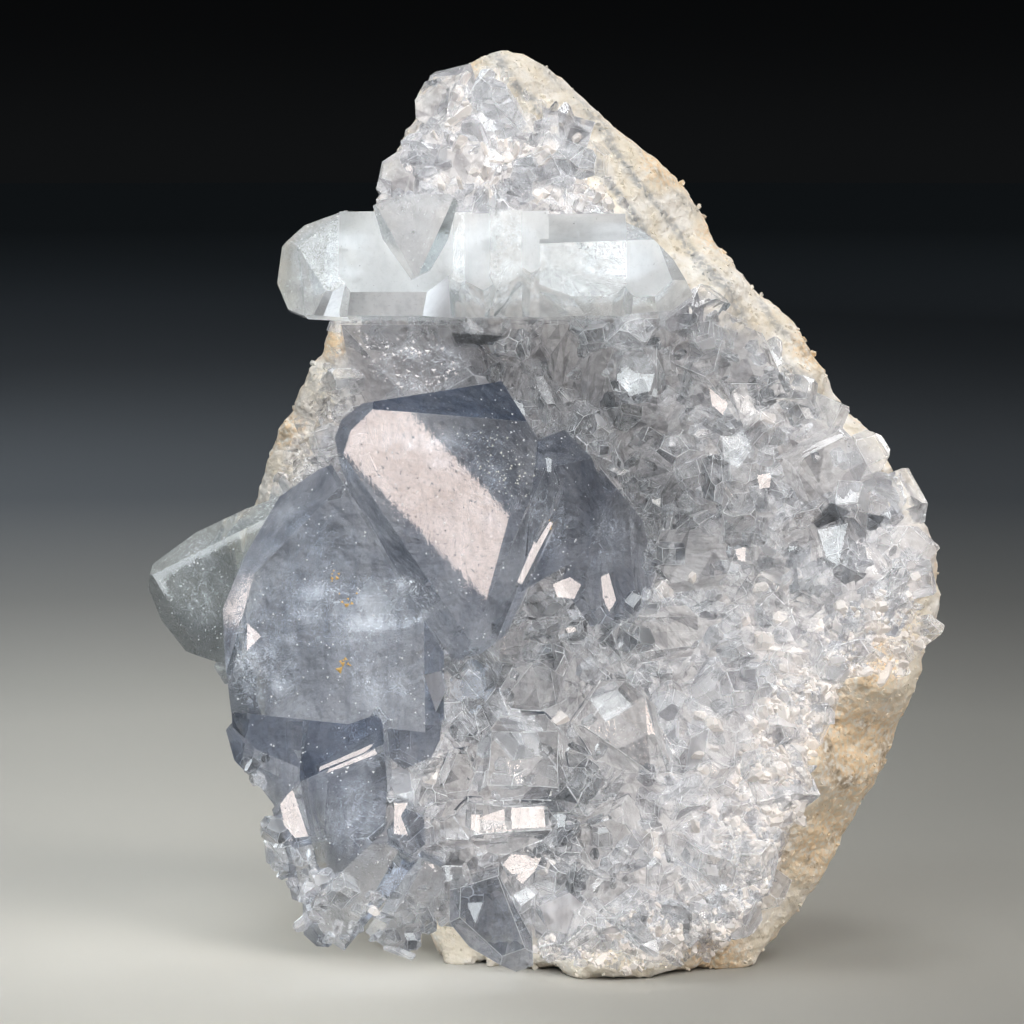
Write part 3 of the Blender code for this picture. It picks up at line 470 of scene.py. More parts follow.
@dataclass(frozen=True)
class SolidFinish:
    """A small thing of one plain colour: a seam of painted shade between crystals, dust or a fleck."""

    name: str
    colour: tuple[float, float, float]
    roughness: float = 0.5

    def build(self) -> bpy.types.Material:
        """Draws the material."""
        made, s = new_material(self.name)
        shader = s.add("BsdfPrincipled", {"Base Color": (*self.colour, 1.0), "Roughness": self.roughness,
                                          "Metallic": 0.0})
        s.add("OutputMaterial", {"Surface": shader.outputs[0]})
        return made


@dataclass(frozen=True)
class VeilFinish:
    """Milky sheets and threads inside the crystals. The piece's attribute fade thins them out."""

    name: str = "inner_veil"
    colour: tuple[float, float, float] = (0.84, 0.88, 0.93)
    cover: float = 0.95

    def build(self, effects: Effects) -> bpy.types.Material:
        """Draws the material.

        Args:
            effects: the shared node groups.

        Returns:
            The material.
        """
        made, s = new_material(self.name)
        place = s.add("TexCoord").outputs["Object"]
        clouds = s.add("Group", {"Position": place, "Size": 3.2, "Cover": 0.9}, node_tree=effects.clouds).outputs
        growth = s.add("Group", {"Position": place, "Size": 0.5}, node_tree=effects.growth).outputs
        thin = s.add("Attribute", attribute_name="fade").outputs["Fac"]
        soft = s.math("MULTIPLY", clouds["Cloud"], s.math("ADD", 0.35, s.math("MULTIPLY", growth["Pit"], 0.6)))
        veil = s.math("MAXIMUM", s.math("MULTIPLY", soft, 0.7), clouds["Thread"])
        alpha = s.math("MULTIPLY", s.math("MULTIPLY", veil, thin), self.cover)
        shader = s.add("BsdfPrincipled", {"Base Color": (*self.colour, 1.0), "Roughness": 0.5, "Metallic": 0.0,
                                          "Alpha": alpha})
        s.add("OutputMaterial", {"Surface": shader.outputs[0]})
        return made


@dataclass(frozen=True)
class RockFinish:
    """Broken cream rock with ochre stains, grey layers and a sugary white ground for the druse.

    The piece's attributes ochre, layers and sugar say where each lies. Its attribute tone is painted
    shade on the ground of the druse, dark in the hollow and between the crystals, and layers also
    paints shade on the left rim.
    """

    name: str = "geode_rock"
    cream: tuple[float, float, float] = (0.86, 0.78, 0.64)
    white: tuple[float, float, float] = (0.98, 0.94, 0.87)
    ochre: tuple[float, float, float] = (0.93, 0.71, 0.46)
    grey: tuple[float, float, float] = (0.36, 0.37, 0.38)
    sugar: tuple[float, float, float] = (0.95, 0.90, 0.87)
    # Painted shade: the ground's colour where the druse lies in shadow, in the hollow and between the crystals.
    hollow_shade: tuple[float, float, float] = (0.06, 0.07, 0.09)
    dark: tuple[float, float, float] = (0.40, 0.33, 0.25)

    def build(self, effects: Effects) -> bpy.types.Material:
        """Draws the material.

        Args:
            effects: the shared node groups.

        Returns:
            The material.
        """
        made, s = new_material(self.name)
        place = s.add("TexCoord").outputs["Object"]
        grain = s.add("Group", {"Position": place, "Size": 3.0}, node_tree=effects.grain).outputs
        names = ("ochre", "layers_and_shade", "sugar", "tone")
        marks = {key: s.add("Attribute", attribute_name=key).outputs["Fac"] for key in names}
        colour = s.mix(s.ramp(grain["Coarse"], 0.35, 0.65), (*self.cream, 1.0), (*self.white, 1.0))
        # Grey layers, and painted shade on the left rim, both from the attribute layers.
        streak = s.math("MULTIPLY", marks["layers_and_shade"], s.ramp(grain["Fine"], 0.25, 0.6))
        colour = s.mix(streak, colour, (*self.grey, 1.0))
        stain = s.math("MULTIPLY", marks["ochre"], s.ramp(grain["Fine"], 0.3, 0.62))
        colour = s.mix(stain, colour, (*self.ochre, 1.0))
        blot = s.math("MULTIPLY", s.ramp(grain["Coarse"], 0.50, 0.62), s.ramp(grain["Fine"], 0.3, 0.6))
        specks = s.math("MULTIPLY", s.math("MULTIPLY", s.ramp(marks["ochre"], 0.75, 1.0), blot), 0.85)
        colour = s.mix(specks, colour, (*self.dark, 1.0))
        # Painted shade on the ground of the druse: tone leads from the shade colour to the sugary white.
        ground = s.mix(marks["tone"], (*self.hollow_shade, 1.0), (*self.sugar, 1.0))
        colour = s.mix(marks["sugar"], colour, ground)
        rough = s.ramp(grain["Fine"], 0.2, 0.8, 0.55, 0.95)
        bump = s.add("Bump", {"Strength": 0.7, "Distance": 0.5 * MM, "Height": grain["Height"]})
        shader = s.add("BsdfPrincipled", {"Base Color": colour, "Roughness": rough, "Metallic": 0.0,
                                          "Normal": bump.outputs[0]})
        s.add("OutputMaterial", {"Surface": shader.outputs[0]})
        return made


@dataclass
class GeodeWall:
    """The rock: a finer copy of the wall, broken up, and raised a little under the druse."""

    node: str = "geode_wall"
    crust: tuple[tuple[float, float], ...] = (
        (-9.1, 89.0), (-6.6, 88.5), (-2.6, 85.5), (1.4, 82.5), (5.4, 77.5), (9.4, 72.5),
        (14.4, 68.0), (18.9, 65.0), (22.9, 62.5), (25.4, 59.0), (28.4, 55.5), (32.4, 51.4),
        (35.6, 47.4), (37.4, 43.2), (37.4, 38.5), (35.6, 35.7), (32.4, 33.5), (28.4, 30.5),
        (26.4, 26.5), (24.9, 21.5), (23.9, 16.5), (21.9, 11.5), (18.9, 7.0), (14.4, 4.2),
        (9.4, 3.0), (1.4, 3.2), (-4.6, 4.0), (-9.6, 5.6), (-14.0, 8.4), (-18.2, 11.0),
        (-21.8, 14.4), (-24.4, 20.0), (-27.0, 27.0), (-28.4, 34.0), (-29.0, 41.0), (-27.4, 46.6),
        (-24.6, 50.0), (-21.6, 54.0), (-20.6, 60.0), (-19.4, 66.0), (-17.4, 73.0), (-15.2, 79.0),
        (-13.6, 83.0), (-11.3, 86.6),
    )
    # Painted shade of the ground of the druse, as (u, v, lightness): dark in the hollow and the gaps between the
    # shadowless crystals.
    tones: tuple[tuple[float, float, float], ...] = (
        (-5.0, 60.0, 0.22), (5.0, 56.0, 0.25), (0.0, 46.0, 0.2), (8.0, 40.0, 0.25), (-5.0, 30.0, 0.25),
        (5.0, 25.0, 0.47), (15.0, 35.0, 0.6), (25.0, 46.0, 0.45), (31.0, 38.0, 0.8), (28.0, 30.0, 1.0),
        (22.0, 20.0, 1.0), (15.0, 10.0, 0.8), (5.0, 8.0, 0.58), (-5.0, 12.0, 0.5), (-15.0, 15.0, 0.5),
        (-20.0, 35.0, 0.45), (-15.0, 60.0, 0.6), (-8.0, 82.0, 0.9), (0.0, 76.0, 0.85), (-14.0, 75.0, 0.75),
        (15.0, 61.0, 0.42), (20.0, 54.0, 0.62), (12.0, 48.0, 0.25), (-12.0, 46.0, 0.4), (-24.0, 28.0, 0.45),
    )
    stains: tuple[tuple[float, float, float], ...] = (
        (31.0, 22.0, 9.0), (28.0, 13.0, 6.0), (17.0, 1.0, 4.5), (33.0, 31.0, 4.0), (-9.0, 91.0, 3.5),
        (12.0, 81.5, 3.0), (17.5, 74.5, 3.0), (27.0, 62.5, 3.0), (-27.0, 55.0, 2.5), (-22.0, 63.5, 2.5),
    )
    levels: int = 3
    ground_rise: float = 1.3
    lumps: tuple[tuple[float, float], ...] = ((6.0, 1.0), (2.2, 0.7), (0.9, 0.42))

    def build(self, nodes: dict[str, bpy.types.Object]) -> bpy.types.Object:
        """Builds the piece.

        Args:
            nodes: the solids of the frame, by name.

        Returns:
            The rock, undressed.
        """
        obj = copy_of_node(nodes[self.node], "rock")
        apply_modifier(obj, "SUBSURF", levels=self.levels, render_levels=self.levels)
        self.mark(obj)
        for name, rise in (("ground", self.ground_rise), ("outside", 0.35)):
            apply_modifier(obj, "DISPLACE", strength=rise * MM, mid_level=0.0, vertex_group=name)
        for number, (size, height) in enumerate(self.lumps):
            texture = bpy.data.textures.new("lumps_%d" % number, "CLOUDS")
            texture.noise_scale = size * MM
            texture.noise_depth = 1
            apply_modifier(obj, "DISPLACE", texture=texture, texture_coords="LOCAL", strength=height * MM,
                           mid_level=0.5)
        for vert in obj.data.vertices:
            vert.co.z = max(vert.co.z, 0.0)
        activate(obj)
        bpy.ops.object.shade_flat()
        return obj

    def mark(self, obj: bpy.types.Object) -> None:
        """Marks where the ground of the druse and its painted shade, the stains and the grey layers with painted shade
        on the left rim lie.
        """
        mesh = obj.data
        ground = obj.vertex_groups.new(name="ground")
        outside = obj.vertex_groups.new(name="outside")
        marks = {"sugar": [], "tone": [], "ochre": [], "layers_and_shade": []}
        for vert in mesh.vertices:
            found = self.marks_at(vert.co, vert.normal)
            if found["sugar"] > 0:
                ground.add([vert.index], min(1.0, found["sugar"] / 1.2), "REPLACE")
            else:
                outside.add([vert.index], 1.0, "REPLACE")
            for key, values in marks.items():
                values.append(found[key])
        for key, values in marks.items():
            mesh.attributes.new(key, "FLOAT", "POINT").data.foreach_set("value", values)

    def marks_at(self, place: Vector, normal: Vector) -> dict[str, float]:
        """The rock's marks at a place, each from 0 to 1: sugar, tone (painted shade of the ground), ochre and layers
        (grey layers, with painted shade on the left rim).
        """
        u, v, w = FACE.back(place)
        facing = normal.dot(FACE.way(0, 0))
        depth = outline_distance(self.crust, u, v) * (1 if inside(self.crust, u, v) else -1)
        sway = noise.noise(Vector((u, v, w)) / 9.0)
        seat = min(1.0, max(0.0, 0.5 + 0.35 * depth + 0.9 * sway)) * min(1.0, max(0.0, facing * 3))
        return {"sugar": min(1.0, seat * 1.2), "tone": self.ground_shade_at(u, v),
                "ochre": self.ochre_at(u, v, facing, sway), "layers_and_shade": self.layers_and_shade_at(u, v, w, facing, sway)}

    def ground_shade_at(self, u: float, v: float) -> float:
        """How light the ground of the druse is painted: painted shade, dark in the hollow and between the crystals,
        white towards its rim.
        """
        total = weights = 0.0
        for mark_u, mark_v, tone in self.tones:
            weight = (math.hypot(u - mark_u, v - mark_v) + 1.0) ** -3
            total += weight * tone
            weights += weight
        return total / weights

    def ochre_at(self, u: float, v: float, facing: float, sway: float) -> float:
        """How stained the rock is: the lower right, the outer edge and the outside."""
        patch = 0.0
        for mark_u, mark_v, reach in self.stains:
            patch = max(patch, 1.0 - math.hypot(u - mark_u, v - mark_v) / reach)
        edge = min(0.5, max(0.0, 0.55 - facing))
        return min(1.0, max(0.0, 1.6 * patch + edge + 0.5 * sway))

    def layers_and_shade_at(self, u: float, v: float, w: float, facing: float, sway: float) -> float:
        """Where the grey layers of the broken rim run, along the upper right edge, with painted shade on the left rim.
        """
        across = u * 0.79 + (v - 90.0) * 0.61 + 3.0 * sway
        band = max(0.0, math.sin(across * 1.9) - 0.25)
        # Painted shade: a grey patch on the left rim, where it lies in shade.
        shade = max(0.0, 1.0 - math.hypot(u + 21.0, v - 54.0) / 14.0)
        return max(shade, min(1.0, 1.4 * band) * min(1.0, max(0.0, (v - 45.0) / 15.0)) * max(0.0, facing))


@dataclass(frozen=True)
class Facet:
    """How one facet, given by a pixel on it, differs: its tone, which is painted light and shade, its frosting and the
    slot of its finish.
    """

    at: tuple[float, float]
    tone: float = 1.0
    frost: float = 0.0
    slot: int = 0


@dataclass(frozen=True)
class LargeCrystal:
    """A large crystal or group: a copy of its solid with worn edges that also paint highlights, dark seams of painted
    shade and facets that differ in painted light and shade.
    """

    node: str
    name: str
    slot: Slot
    edge: float = 0.14
    tone: float = 1.0
    spread: float = 0.25
    seldom: float = 1.0
    seed: int = 5
    facets: tuple[Facet, ...] = ()
    steps: float = 0.0

    def build(self, nodes: dict[str, bpy.types.Object]) -> bpy.types.Object:
        """Builds the piece. With steps its facets are broken up a little, as if grown in steps.

        Args:
            nodes: the solids of the frame, by name.

        Returns:
            The crystal, undressed.
        """
        obj = copy_of_node(nodes[self.node], self.name)
        activate(obj)
        bpy.ops.object.mode_set(mode="EDIT")
        bpy.ops.mesh.select_all(action="SELECT")
        bpy.ops.mesh.dissolve_limited(angle_limit=math.radians(0.6))
        bpy.ops.object.mode_set(mode="OBJECT")
        give_slots(obj)
        apply_modifier(obj, "BEVEL", width=self.edge * MM, segments=1, limit_method="ANGLE",
                       angle_limit=math.radians(14), material=1)
        self.find_seam_shade(obj)
        if self.steps:
            activate(obj)
            bpy.ops.object.mode_set(mode="EDIT")
            bpy.ops.mesh.select_all(action="SELECT")
            bpy.ops.mesh.quads_convert_to_tris()
            bpy.ops.mesh.subdivide(number_cuts=1, fractal=self.steps, fractal_along_normal=1.0, seed=self.seed)
            bpy.ops.object.mode_set(mode="OBJECT")
        self.vary(obj)
        return obj

    def find_seam_shade(self, obj: bpy.types.Object) -> None:
        """Puts the bevels of inner corners, where crystals meet, in the slot of the dark seams: painted shade in the
        creases.
        """
        polygons = obj.data.polygons
        sides = {}
        for polygon in polygons:
            for key in polygon.edge_keys:
                sides.setdefault(key, []).append(polygon)
        seams = []
        for polygon in polygons:
            if polygon.material_index == 1:
                flanks = [side for key in polygon.edge_keys for side in sides[key] if side.material_index == 0]
                if sum((side.center - polygon.center).dot(polygon.normal) for side in flanks) > 0:
                    seams.append(polygon)
        for polygon in seams:
            polygon.material_index = 2

    def vary(self, obj: bpy.types.Object) -> None:
        """Gives each facet a tone, painted light and shade set at random and as listed for the given facets, and a
        frosting.
        """
        rng = np.random.default_rng(self.seed)
        count = len(obj.data.polygons)
        # Each facet's tone at random: painted light and shade that differs from facet to facet.
        tone = self.tone - self.spread * rng.random(count) ** self.seldom
        frost = 0.5 * rng.random(count) ** 4
        tree = facets_of([obj])
        for facet in self.facets:
            _, _, index, _ = tree.ray_cast(FACE.eye(), FACE.ray_to(*facet.at))
            if index is not None:
                tone[index] = facet.tone
                frost[index] = facet.frost
                if obj.data.polygons[index].material_index == 0:
                    obj.data.polygons[index].material_index = facet.slot
        for key, values in (("facet_tone_and_shade", tone), ("frost", frost)):
            obj.data.attributes.new(key, "FLOAT", "FACE").data.foreach_set("value", values)


@dataclass(frozen=True)
class CrystalShape:
    """A small crystal of unit width standing on the origin: a block whose top is cut by planes.

    Each cut is (share of the width across, share of the depth, height, direction).
    """

    depth: float
    height: float
    cuts: tuple[tuple[tuple[float, float, float], tuple[float, float, float]], ...]

    def build(self, edge: float) -> tuple[np.ndarray, list[list[int]], list[int]]:
        """Models the crystal once.

        Args:
            edge: how wide its worn edges are, as a share of its width. With 0 they stay sharp.

        Returns:
            Its points, the points of each of its faces, and which faces are worn edges.
        """
        deselect()
        bpy.ops.mesh.primitive_cube_add(size=1.0, location=(0, 0, 0))
        obj = bpy.context.object
        bpy.ops.object.mode_set(mode="EDIT")
        bpy.ops.transform.resize(value=(1.0, self.depth, self.height + 0.5))
        bpy.ops.transform.translate(value=(0, 0, (self.height - 0.5) / 2))
        for place, way in self.cuts:
            bpy.ops.mesh.select_all(action="SELECT")
            bpy.ops.mesh.bisect(plane_co=place, plane_no=way, use_fill=True, clear_outer=True)
        bpy.ops.mesh.select_all(action="SELECT")
        bpy.ops.mesh.normals_make_consistent(inside=False)
        bpy.ops.object.mode_set(mode="OBJECT")
        give_slots(obj)
        if edge:
            apply_modifier(obj, "BEVEL", width=edge, segments=1, limit_method="ANGLE",
                           angle_limit=math.radians(14), material=1)
        points = np.array([v.co for v in obj.data.vertices], float)
        faces = [list(p.vertices) for p in obj.data.polygons]
        worn = [p.material_index for p in obj.data.polygons]
        mesh = obj.data
        bpy.data.objects.remove(obj)
        bpy.data.meshes.remove(mesh)
        return points, faces, worn


SHAPES = (
    CrystalShape(0.7, 1.0, (((0, 0, 1.0), (0.8, 0, 0.6)), ((0, 0, 0.98), (-0.75, 0, 0.66)),
                            ((0, 0.2, 1.0), (0, 0.7, 0.7)), ((0, -0.15, 1.0), (0, -0.6, 0.8)),
                            ((0.34, 0.24, 0), (0.9, 1.0, 0.15)), ((-0.36, -0.22, 0), (-0.9, -1.0, 0.1)))),
    CrystalShape(0.42, 1.1, (((0.2, 0, 1.1), (0.85, 0, 0.5)), ((-0.25, 0, 1.1), (-0.7, 0, 0.7)),
                             ((0, 0.1, 1.1), (0, 0.9, 0.35)), ((0.4, -0.1, 0.9), (0.5, -0.6, 0.4)),
                             ((0.36, -0.12, 0), (0.7, -1.0, 0.2)), ((-0.38, 0.12, 0), (-0.7, 1.0, 0.1)))),
    CrystalShape(0.95, 0.8, (((0.3, 0, 0.8), (0.6, 0.1, 0.7)), ((-0.3, 0, 0.75), (-0.7, 0, 0.6)),
                             ((0, 0.35, 0.7), (0.1, 0.75, 0.6)), ((0, -0.3, 0.8), (0, -0.7, 0.6)),
                             ((0.35, 0.35, 0.6), (0.6, 0.6, 0.4)), ((-0.33, 0.33, 0), (-1.0, 0.9, 0.2)),
                             ((0.34, -0.36, 0), (0.9, -1.0, 0.1)))),
    CrystalShape(0.5, 1.5, (((0, 0, 1.5), (0.7, 0, 0.7)), ((0.05, 0, 1.45), (-0.9, 0, 0.4)),
                            ((0, 0.12, 1.5), (0, 0.8, 0.55)), ((0, -0.2, 1.2), (0.1, -0.8, 0.5)),
                            ((0.38, 0.14, 0), (0.8, 1.0, 0.1)), ((-0.38, -0.14, 0), (-0.8, -1.0, 0.15)))),
    CrystalShape(0.8, 1.2, (((0, 0, 1.15), (0.65, 0.2, 0.6)), ((0, 0, 1.1), (-0.5, 0.5, 0.6)),
                            ((0, 0, 1.12), (0.1, -0.8, 0.55)), ((0.33, 0.3, 0), (1.0, 0.9, 0.25)),
                            ((-0.35, 0.28, 0), (-1.0, 0.9, 0.2)), ((-0.3, -0.32, 0), (-0.9, -1.0, 0.2)),
                            ((0.36, -0.3, 0), (1.0, -0.8, 0.1)))),
)


@dataclass(frozen=True)
class Sowing:
    """One kind of small crystal, and where it stands.

    The region is an outline in (u, v). Width gives the smallest and the largest crystal, tilt how far
    they lean from the ground's normal, and spacing how close they stand as a share of their width. None
    stands on what is more than the highest above the rock. Stone grains stand on the bare rock.
    """

    name: str
    region: tuple[tuple[float, float], ...]
    count: int
    width: tuple[float, float]
    tilt: float
    spacing: float
    seed: int
    sink: float = 0.25
    highest: float = 3.2
    edge: float = 0.03
    stone: bool = False
    also: str = ""


@dataclass
class Druse:
    """The druse: the crust's own crystals, and finer ones sown between them."""

    node: str
    sowings: tuple[Sowing, ...]
    wall: GeodeWall
    facets: tuple[Facet, ...] = ()

    def ground(self, nodes: dict[str, bpy.types.Object], rock: bpy.types.Object) -> tuple[BVHTree, list[str]]:
        """What a crystal can stand on, with the name of the piece under each face."""
        points, faces, owners = [], [], []
        meshes = [(name, node.data) for name, node in nodes.items() if name != "geode_wall"]
        for name, mesh in meshes + [("rock", rock.data)]:
            start = len(points)
            points += [v.co.copy() for v in mesh.vertices]
            faces += [[start + k for k in p.vertices] for p in mesh.polygons]
            owners += [name] * len(mesh.polygons)
        return BVHTree.FromPolygons(points, faces), owners

    def sow(self, sowing: Sowing, tree: BVHTree, owners: list[str], rock: BVHTree) -> bpy.types.Object:
        """Places one sowing's crystals as one mesh.

        Args:
            sowing: what to place, and where.
            tree: the ground.
            owners: the piece under each face of the ground.
            rock: the rock under it all.

        Returns:
            The piece, undressed.
        """
        rng = np.random.default_rng(sowing.seed)
        shapes = [shape.build(sowing.edge) for shape in SHAPES]
        low = np.min(sowing.region, axis=0)
        high = np.max(sowing.region, axis=0)
        points, faces, slots, placed, total, grown = [], [], [], {}, 0, 0
        steps = [(x, y, z) for x in (-1, 0, 1) for y in (-1, 0, 1) for z in (-1, 0, 1)]
        marks = {"sugar": [], "tone": [], "ochre": [], "layers_and_shade": []}
        tones = {"facet_tone_and_shade": [], "frost": []}
        allowed = {"rock"} if sowing.stone else {"rock", self.node, sowing.also}
        out = FACE.way(0, 0)
        for _ in range(sowing.count * 40):
            if grown >= sowing.count:
                break
            u, v = rng.uniform(low, high)
            width = sowing.width[0] + (sowing.width[1] - sowing.width[0]) * rng.random() ** 2
            if not inside(sowing.region, u, v):
                continue
            hit, normal, index, _ = tree.ray_cast(FACE.point(u, v, 60.0), -out)
            if hit is None or owners[index] not in allowed or hit.z < 0.8 * width * MM:
                continue
            stone = rock.ray_cast(FACE.point(u, v, 60.0), -out)[0]
            if stone is not None and (hit - stone).length > sowing.highest * MM:
                continue
            found = self.wall.marks_at(hit, normal)
            if sowing.stone and found["sugar"] > 0.5:
                continue
            room = sowing.spacing * width
            place = np.array(hit) / MM
            cell = tuple(int(k // sowing.width[1]) for k in place)
            near = [other for step in steps for other in placed.get(tuple(np.add(cell, step)), ())]
            if any(sum((place - p) ** 2) < (0.5 * (room + r)) ** 2 for p, r in near):
                continue
            placed.setdefault(cell, []).append((place, room))
            grown += 1
            tilt = math.radians(sowing.tilt)
            way = (normal + 0.6 * out + Vector(rng.uniform(-tilt, tilt, 3))).normalized()
            turn = np.array(way.to_track_quat("Z", "Y").to_matrix() @ Matrix.Rotation(rng.uniform(0, 6.283), 3, "Z"))
            shape_points, shape_faces, shape_worn = shapes[rng.integers(len(shapes))]
            size = np.array([width, width * rng.uniform(0.75, 1.25), width * rng.uniform(0.7, 1.15)])
            local = shape_points * size
            local[:, 2] -= sowing.sink * width
            points.append((local @ turn.T + place) * MM)
            faces += [[total + k for k in face] for face in shape_faces]
            # Whiter crystals where the painted shade of the ground is lighter.
            milky = self.milky_slot(found["tone"] + rng.normal(0.0, 0.22), 3 if width > 2.0 else 4)
            slots += [1 if part else (0 if sowing.stone else milky) for part in shape_worn]
            # Facet tones at random: painted light and shade that differs from facet to facet.
            tones["facet_tone_and_shade"] += list(1.0 - 0.8 * rng.random(len(shape_faces)) ** 3)
            tones["frost"] += list(0.8 * rng.random(len(shape_faces)) ** 4)
            for key, values in marks.items():
                values += [found[key]] * len(shape_points)
            total += len(shape_points)
        mesh = bpy.data.meshes.new(sowing.name)
        mesh.from_pydata(np.vstack(points).tolist(), [], faces)
        obj = bpy.data.objects.new(sowing.name, mesh)
        give_slots(obj)
        mesh.polygons.foreach_set("material_index", slots)
        for domain, table in (("POINT", marks if sowing.stone else {}), ("FACE", {} if sowing.stone else tones)):
            for key, values in table.items():
                mesh.attributes.new(key, "FLOAT", domain).data.foreach_set("value", values)
        bpy.context.scene.collection.objects.link(obj)
        LOG.info("%s: %d crystals", sowing.name, grown)
        return obj

    def milky_slot(self, tone: float, last: int = 3) -> int:
        """The slot of a clear, a milky or a whitish crystal, by the painted shade of the ground where it lies, up to
        the last.
        """
        return 0 if tone < 0.55 else min(last, 3 if tone < 0.85 else 4)

    def build(self, nodes: dict[str, bpy.types.Object], rock: bpy.types.Object) -> list[bpy.types.Object]:
        """Builds the crust's own crystals and every sowing.

        Args:
            nodes: the solids of the frame, by name.
            rock: the ground between the crystals.

        Returns:
            The pieces, undressed, the crust's own first.
        """
        own = LargeCrystal(self.node, "druse_main", Slot.DRUSE, 0.08, 1.0, 0.8, 3.0, 6, self.facets, 0.5).build(nodes)
        for polygon in own.data.polygons:
            if polygon.material_index == 0:
                u, v, _ = FACE.back(polygon.center)
                sway = noise.noise(polygon.center / (5.0 * MM))
                # Milkier crystals where the painted shade of the ground is lighter.
                polygon.material_index = self.milky_slot(self.wall.ground_shade_at(u, v) + 0.5 * sway)
        tree, owners = self.ground(nodes, rock)
        stone = facets_of([rock])
        return [own] + [self.sow(sowing, tree, owners, stone) for sowing in self.sowings]


@dataclass(frozen=True)
class Flash:
    """One small crystal whose front facet has a known outline in the picture, and what it does there.

    A cool or a warm one mirrors the panel of that colour into the camera. A dark one is painted shadow: a nearly black
    crystal where a gap lies in shade.
    """

    corners: tuple[tuple[float, float], ...]
    kind: str = "warm"
    frost: float = 0.0
    rise: float = 1.2


@dataclass(frozen=True)
class Flashes:
    """The small crystals whose facets flash in the picture, as one piece."""

    flashes: tuple[Flash, ...]
    panels: tuple[tuple[str, tuple[float, float]], ...] = (
        ("cool", (-4.0, 42.0)), ("warm", (30.0, 2.0)), ("dark", (-30.0, -20.0)),
    )
    depth: float = 2.6
    widening: float = 1.12

    def build(self, ground: list[bpy.types.Object]) -> bpy.types.Object:
        """Models each as a short block that widens into the ground.

        Args:
            ground: the pieces that they stand on.

        Returns:
            The piece, undressed.
        """
        panels = dict(self.panels)
        tree = facets_of(ground)
        points, faces, tone, frost = [], [], [], []
        for flash in self.flashes:
            count = len(flash.corners)
            middle = tuple(sum(corner[k] for corner in flash.corners) / count for k in (0, 1))
            hit = tree.ray_cast(FACE.eye(), FACE.ray_to(*middle))[0]
            if hit is None:
                continue
            at = hit - FACE.ray_to(*middle) * flash.rise * MM
            towards = (FACE.panel_place(*panels[flash.kind]) - at).normalized()
            normal = (towards + (FACE.eye() - at).normalized()).normalized()
            start = len(points)
            front = []
            for corner in flash.corners:
                ray = FACE.ray_to(*corner)
                front.append(FACE.eye() + ray * ((at - FACE.eye()).dot(normal) / ray.dot(normal)))
            inwards = at - FACE.way(0, 0) * (self.depth + flash.rise) * MM
            back = [inwards + (place - at) * self.widening for place in front]
            points += front + back
            turned = (front[1] - front[0]).cross(front[2] - front[1]).dot(normal) > 0
            ring = list(range(count)) if turned else list(range(count))[::-1]
            made = [[start + k for k in ring], [start + count + k for k in ring[::-1]]]
            for k, following in zip(ring, ring[1:] + ring[:1]):
                made.append([start + k, start + count + k, start + count + following, start + following])
            faces += made
            # Painted shadow: a dark flash is toned nearly black.
            tone += [0.08 if flash.kind == "dark" else 1.0] * len(made)
            frost += [flash.frost] + [0.2] * (len(made) - 1)
        mesh = bpy.data.meshes.new("flashing_crystals")
        mesh.from_pydata(points, [], faces)
        obj = bpy.data.objects.new("flashing_crystals", mesh)
        give_slots(obj)
        for key, values in (("facet_tone_and_shade", tone), ("frost", frost)):
            mesh.attributes.new(key, "FLOAT", "FACE").data.foreach_set("value", values)
        bpy.context.scene.collection.objects.link(obj)
        return obj


@dataclass(frozen=True)
class Specks:
    """Dust and flecks on and just under the large crystals' faces, as one piece."""

    name: str
    count: int
    size: tuple[float, float]
    seed: int
    region: tuple[tuple[float, float], ...] = ()
    places: tuple[tuple[float, float], ...] = ()
    depth: float = 0.02

    def build(self, crystals: list[bpy.types.Object]) -> bpy.types.Object:
        """Models them as small flat four-sided grains.

        Args:
            crystals: the crystals that carry them.

        Returns:
            The piece, undressed.
        """
        rng = np.random.default_rng(self.seed)
        tree = facets_of(crystals)
        points, faces = [], []
        while len(points) < self.count * 4:
            if self.places:
                x, y = np.array(self.places[rng.integers(len(self.places))]) + rng.normal(0.0, 3.5, 2)
            else:
                x, y = rng.uniform(np.min(self.region, axis=0), np.max(self.region, axis=0))
                if not inside(self.region, x, y):
                    continue
            hit, normal, _, _ = tree.ray_cast(FACE.eye(), FACE.ray_to(x, y))
            if hit is None:
                continue
            size = (self.size[0] + (self.size[1] - self.size[0]) * rng.random() ** 3) * MM
            turn = normal.to_track_quat("Z", "Y").to_matrix() @ Matrix.Rotation(rng.uniform(0, 6.283), 3, "Z")
            start = len(points)
            for x, y, z in ((-0.5, -0.3, 0.0), (0.5, -0.35, 0.0), (0.1, 0.55, 0.0), (0.0, 0.0, 0.4)):
                points.append(hit + turn @ Vector((x, y, z)) * size - normal * self.depth * MM * 0.5)
            faces += [[start + k for k in face] for face in ((0, 2, 1), (0, 1, 3), (1, 2, 3), (2, 0, 3))]
        mesh = bpy.data.meshes.new(self.name)
        mesh.from_pydata(points, [], faces)
        obj = bpy.data.objects.new(self.name, mesh)
        bpy.context.scene.collection.objects.link(obj)
        return obj


@dataclass(frozen=True)
class Veil:
    """A milky sheet inside a crystal: its middle, where it looks, its size, wave and strength."""

    at: tuple[float, float, float]
    looks: tuple[float, float]
    size: tuple[float, float]
    wave: float = 0.8
    strength: float = 1.0


